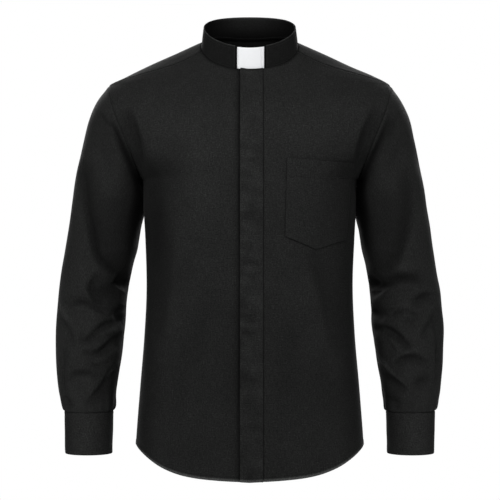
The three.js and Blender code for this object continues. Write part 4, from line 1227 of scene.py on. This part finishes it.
def clothMaterial(name, colour, streak=2.8):
    material, tree, shader = newMaterial(name)
    place = add(tree, "ShaderNodeUVMap", uv_map="clothMap").outputs[0]
    read = {mark: add(tree, "ShaderNodeAttribute", attribute_name=mark).outputs["Fac"]
            for mark in ("seam", "hem", "shade", "inside")}
    cloth = add(tree, "ShaderNodeGroup", node_tree=weave)
    lines = add(tree, "ShaderNodeGroup", node_tree=seams)
    tree.links.new(place, cloth.inputs["Place"])
    cloth.inputs["Streak"].default_value = streak
    lines.inputs["Turned"].default_value = hem["turned"] - 1
    for mark, socket in read.items():
        tree.links.new(socket, lines.inputs[mark.capitalize()])
    tone = calc(tree, "MULTIPLY", cloth.outputs["Tone"], lines.outputs["Tone"])
    # A painted dark outline: the colour is darker where the cloth turns edge-on to the view.
    grazing = add(tree, "ShaderNodeLayerWeight", {"Blend": 0.5}).outputs["Facing"]
    edge = ranged(tree, grazing, 0.86, 0.98, 1.0, 0.3)
    tone = calc(tree, "MULTIPLY", tone, edge)
    paint = add(tree, "ShaderNodeVectorMath", {0: colour, "Scale": tone}, operation="SCALE").outputs[0]
    height = calc(tree, "ADD", calc(tree, "MULTIPLY", cloth.outputs["Height"], 0.35), lines.outputs["Height"])
    bump = add(tree, "ShaderNodeBump", {"Height": height, "Strength": 0.5, "Distance": 0.00025})
    tree.links.new(paint, shader.inputs["Base Color"])
    tree.links.new(bump.outputs[0], shader.inputs["Normal"])
    shader.inputs["Roughness"].default_value = 0.9
    shader.inputs["Specular IOR Level"].default_value = 0.08
    shader.inputs["Sheen Weight"].default_value = sheen["weight"]
    shader.inputs["Sheen Roughness"].default_value = sheen["roughness"]
    return material


sheen = {"weight": 0.02, "roughness": 0.3}
black = (0.0176, 0.0181, 0.0176)
bodyCloth = clothMaterial("bodyCloth", black)
# The collar's copy of the body cloth, painted darker as shade.
shadedCollarCloth = clothMaterial("shadedCollarCloth", tuple(0.45 * c for c in black), 2.4)


def plainMaterial(name, colour, roughness, specular=0.5):
    material, tree, shader = newMaterial(name)
    place = add(tree, "ShaderNodeTexCoord").outputs["Object"]
    grain = add(tree, "ShaderNodeTexNoise", {"Vector": place, "Scale": 900.0, "Detail": 3.0}).outputs[0]
    tone = ranged(tree, grain, 0.0, 1.0, 0.985, 1.015)
    paint = add(tree, "ShaderNodeVectorMath", {0: colour, "Scale": tone}, operation="SCALE").outputs[0]
    bump = add(tree, "ShaderNodeBump", {"Height": grain, "Strength": 0.2, "Distance": 0.0001})
    tree.links.new(paint, shader.inputs["Base Color"])
    tree.links.new(bump.outputs[0], shader.inputs["Normal"])
    shader.inputs["Roughness"].default_value = roughness
    shader.inputs["Specular IOR Level"].default_value = specular
    return material


tabWhite = plainMaterial("tabWhite", (0.863, 0.872, 0.887), 0.4)
buttonBlack = plainMaterial("buttonBlack", (0.012, 0.012, 0.013), 0.28)
threadBlack = plainMaterial("threadBlack", (0.011, 0.011, 0.0115), 0.7, 0.2)
floorPale = plainMaterial("floorPale", (0.8, 0.8, 0.8), 0.8, 0.2)
print("made the materials")


def place(piece, material, slot, *nodes):
    piece.data.materials.clear()
    piece.data.materials.append(material)
    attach(piece, "root")
    if nodes:
        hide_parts(*nodes)
    return piece


shirt = {
    "frontRight": place(rightFront(), bodyCloth, "cloth", "front_right"),
    "frontLeft": place(leftFront(), bodyCloth, "cloth", "front_left"),
    "back": place(backPanel(), bodyCloth, "cloth", "back"),
    "yoke": place(yokePanel(), bodyCloth, "cloth", "yoke"),
    "fly": place(flyPanel(), bodyCloth, "cloth", "fly_placket"),
    "pocket": place(pocketPanel(), bodyCloth, "cloth", "pocket"),
    "collar": place(collarBand(), shadedCollarCloth, "cloth", "collar_band"),
    "tab": place(collarTab(), tabWhite, "tab", "collar_tab"),
}
for side, word, folds in ((-1, "right", rightSleeveFolds), (1, "left", leftSleeveFolds)):
    shirt["sleeve" + word] = place(sleevePanel(side, word, folds), bodyCloth, "cloth", "sleeve_" + word)
    facing = sleevePlacketPanel(side, word, folds)
    shirt["placket" + word] = place(facing, bodyCloth, "cloth", "sleeve_placket_" + word)
    shirt["cuff" + word] = place(cuffPanel(side, word), bodyCloth, "cloth", "cuff_" + word)
    button, holes, outward = roundButton(side, word)
    shirt["button" + word] = place(button, buttonBlack, "button", "cuff_button_" + word)
    shirt["thread" + word] = place(buttonThread(word, holes, outward), threadBlack, "cloth")
print("made the shirt")


# Rows of short stitches along sewn lines: the lines are edges that carry the way the cloth faces.
def stitchTree():
    tree = bpy.data.node_groups.new("stitchRows", "GeometryNodeTree")
    tree.interface.new_socket("Lines", in_out="INPUT", socket_type="NodeSocketGeometry")
    kinds = {"Spacing": "Float", "Length": "Float", "Width": "Float", "Unevenness": "Float",
             "Seed": "Int", "Thread": "Material"}
    for label, kind in kinds.items():
        tree.interface.new_socket(label, in_out="INPUT", socket_type="NodeSocket" + kind)
    tree.interface.new_socket("Stitches", in_out="OUTPUT", socket_type="NodeSocketGeometry")
    given = tree.nodes.new("NodeGroupInput").outputs
    path = add(tree, "GeometryNodeMeshToCurve", {"Mesh": given["Lines"]}).outputs[0]
    places = add(tree, "GeometryNodeCurveToPoints", {"Curve": path, "Length": given["Spacing"]},
                 mode="LENGTH").outputs
    facing = add(tree, "GeometryNodeInputNamedAttribute", {"Name": "facing"},
                 data_type="FLOAT_VECTOR").outputs["Attribute"]
    along = add(tree, "FunctionNodeAlignRotationToVector", {"Vector": places["Tangent"]}, axis="X").outputs[0]
    turned = add(tree, "FunctionNodeAlignRotationToVector", {"Rotation": along, "Vector": facing},
                 axis="Z", pivot_axis="X").outputs[0]
    least = calc(tree, "SUBTRACT", 1.0, given["Unevenness"])
    most = calc(tree, "ADD", 1.0, given["Unevenness"])
    uneven = add(tree, "FunctionNodeRandomValue", {"Seed": given["Seed"]}, data_type="FLOAT")
    floats = [socket for socket in uneven.inputs if socket.type == "VALUE"]
    tree.links.new(least, floats[0])
    tree.links.new(most, floats[1])
    chosen = [socket for socket in uneven.outputs if socket.type == "VALUE"][0]
    half = calc(tree, "MULTIPLY", given["Length"], 0.5)
    size = add(tree, "ShaderNodeCombineXYZ", {
        "X": calc(tree, "MULTIPLY", half, chosen),
        "Y": calc(tree, "MULTIPLY", given["Width"], 0.5),
        "Z": calc(tree, "MULTIPLY", given["Width"], 0.4),
    }).outputs[0]
    grain = add(tree, "GeometryNodeMeshUVSphere", {"Segments": 6, "Rings": 4, "Radius": 1.0}).outputs["Mesh"]
    copies = add(tree, "GeometryNodeInstanceOnPoints", {
        "Points": places["Points"], "Instance": grain, "Rotation": turned, "Scale": size,
    }).outputs[0]
    whole = add(tree, "GeometryNodeRealizeInstances", {"Geometry": copies}).outputs[0]
    rounded = add(tree, "GeometryNodeSetShadeSmooth", {"Geometry": whole}).outputs[0]
    done = add(tree, "GeometryNodeSetMaterial", {"Geometry": rounded, "Material": given["Thread"]}).outputs[0]
    tree.links.new(done, tree.nodes.new("NodeGroupOutput").inputs["Stitches"])
    return tree


stitchRows = stitchTree()


def stitches(word, lines, thread):
    counts = [len(line) for line in lines]
    starts = np.cumsum([0] + counts[:-1])
    edges = np.concatenate([np.stack([np.arange(n - 1), np.arange(1, n)], axis=1) + start
                            for n, start in zip(counts, starts)])
    layers = np.concatenate(lines)
    facing = unit(layers[:, 3:])
    mesh = bpy.data.meshes.new("stitches_" + word)
    mesh.from_pydata(((layers[:, :3] + facing * 0.08) * mm).tolist(), edges.tolist(), [])
    carried = mesh.attributes.new("facing", "FLOAT_VECTOR", "POINT")
    carried.data.foreach_set("vector", facing.ravel().astype(np.float32))
    piece = bpy.data.objects.new("stitches_" + word, mesh)
    bpy.context.scene.collection.objects.link(piece)
    rows = piece.modifiers.new("rows", "NODES")
    rows.node_group = stitchRows
    wanted = {"Spacing": 2.7 * mm, "Length": 2.1 * mm, "Width": 0.55 * mm,
              "Unevenness": 0.12, "Seed": 7, "Thread": thread}
    for socket in stitchRows.interface.items_tree:
        if socket.in_out == "INPUT" and socket.name in wanted:
            rows[socket.identifier] = wanted[socket.name]
    whole = bpy.data.meshes.new_from_object(piece.evaluated_get(bpy.context.evaluated_depsgraph_get()))
    piece.modifiers.clear()
    piece.data = whole
    return piece


for word, lines in sewnLines.items():
    shirt["stitches " + word] = place(stitches(word, lines, threadBlack), threadBlack, "cloth")


sewn = [piece for name, piece in shirt.items() if name.startswith("stitches")]
print("sewed", sum(len(piece.data.polygons) for piece in sewn), "faces of stitches")


def areaLight(name, where, toward, size, power):
    data = bpy.data.lights.new(name, "AREA")
    data.shape, data.size, data.size_y, data.energy = "RECTANGLE", size[0], size[1], power
    lamp = bpy.data.objects.new(name, data)
    lamp.location = where
    lamp.visible_camera = False
    lamp.rotation_euler = (Vector(toward) - Vector(where)).to_track_quat("-Z", "Y").to_euler()
    bpy.context.scene.collection.objects.link(lamp)
    return lamp


areaLight("key", (-0.28, -1.4, 0.75), (0, 0, -0.2), (0.8, 0.6), 20.5)
areaLight("fill", (1.3, -2.4, 0.3), (0.1, 0, -0.25), (0.9, 0.9), 8.6)
areaLight("sideRight", (-2.3, -0.5, 0.5), (-0.25, 0, -0.2), (1.0, 1.4), 12.2)
areaLight("sideLeft", (2.3, -0.5, 0.5), (0.25, 0, -0.2), (1.0, 1.4), 12.2)
areaLight("rimRight", (-1.15, 2.7, 1.1), (0, 0, -0.3), (1.4, 2.0), 85)
areaLight("rimLeft", (1.15, 2.7, 1.1), (0, 0, -0.3), (1.4, 2.0), 85)

world = bpy.data.worlds.new("studio")
bpy.context.scene.world = world
world.use_nodes = True
sky = world.node_tree
sky.nodes.clear()
seen = add(sky, "ShaderNodeLightPath").outputs["Is Camera Ray"]
strength = ranged(sky, seen, 0.0, 1.0, 0.06, 1.0)
background = add(sky, "ShaderNodeBackground", {"Color": (1, 1, 1, 1), "Strength": strength})
add(sky, "ShaderNodeOutputWorld", {"Surface": background.outputs[0]})

bpy.ops.mesh.primitive_cylinder_add(vertices=96, radius=1.3, depth=0.02, location=(0, 0, -1.01))
floor = bpy.context.object
floor.name = "floor"
floor.data.materials.append(floorPale)

# The camera: metres off, its height, half the width that it sees there, and its shift in widths of the image.
view = {"away": 3, "height": -0.35, "halfWidth": 0.4225, "shift": 0.3 / 500}
lens = bpy.data.cameras.new("camera")
lens.sensor_fit = "HORIZONTAL"
lens.angle = 2 * math.atan(view["halfWidth"] / view["away"])
lens.shift_x = view["shift"]
lens.clip_end = 100
eye = bpy.data.objects.new("camera", lens)
eye.location = (0, -view["away"], view["height"])
eye.rotation_euler = (math.pi / 2, 0, 0)
bpy.context.scene.collection.objects.link(eye)
bpy.context.scene.camera = eye
bpy.context.scene.view_settings.view_transform = "Standard"
print("lit the scene")
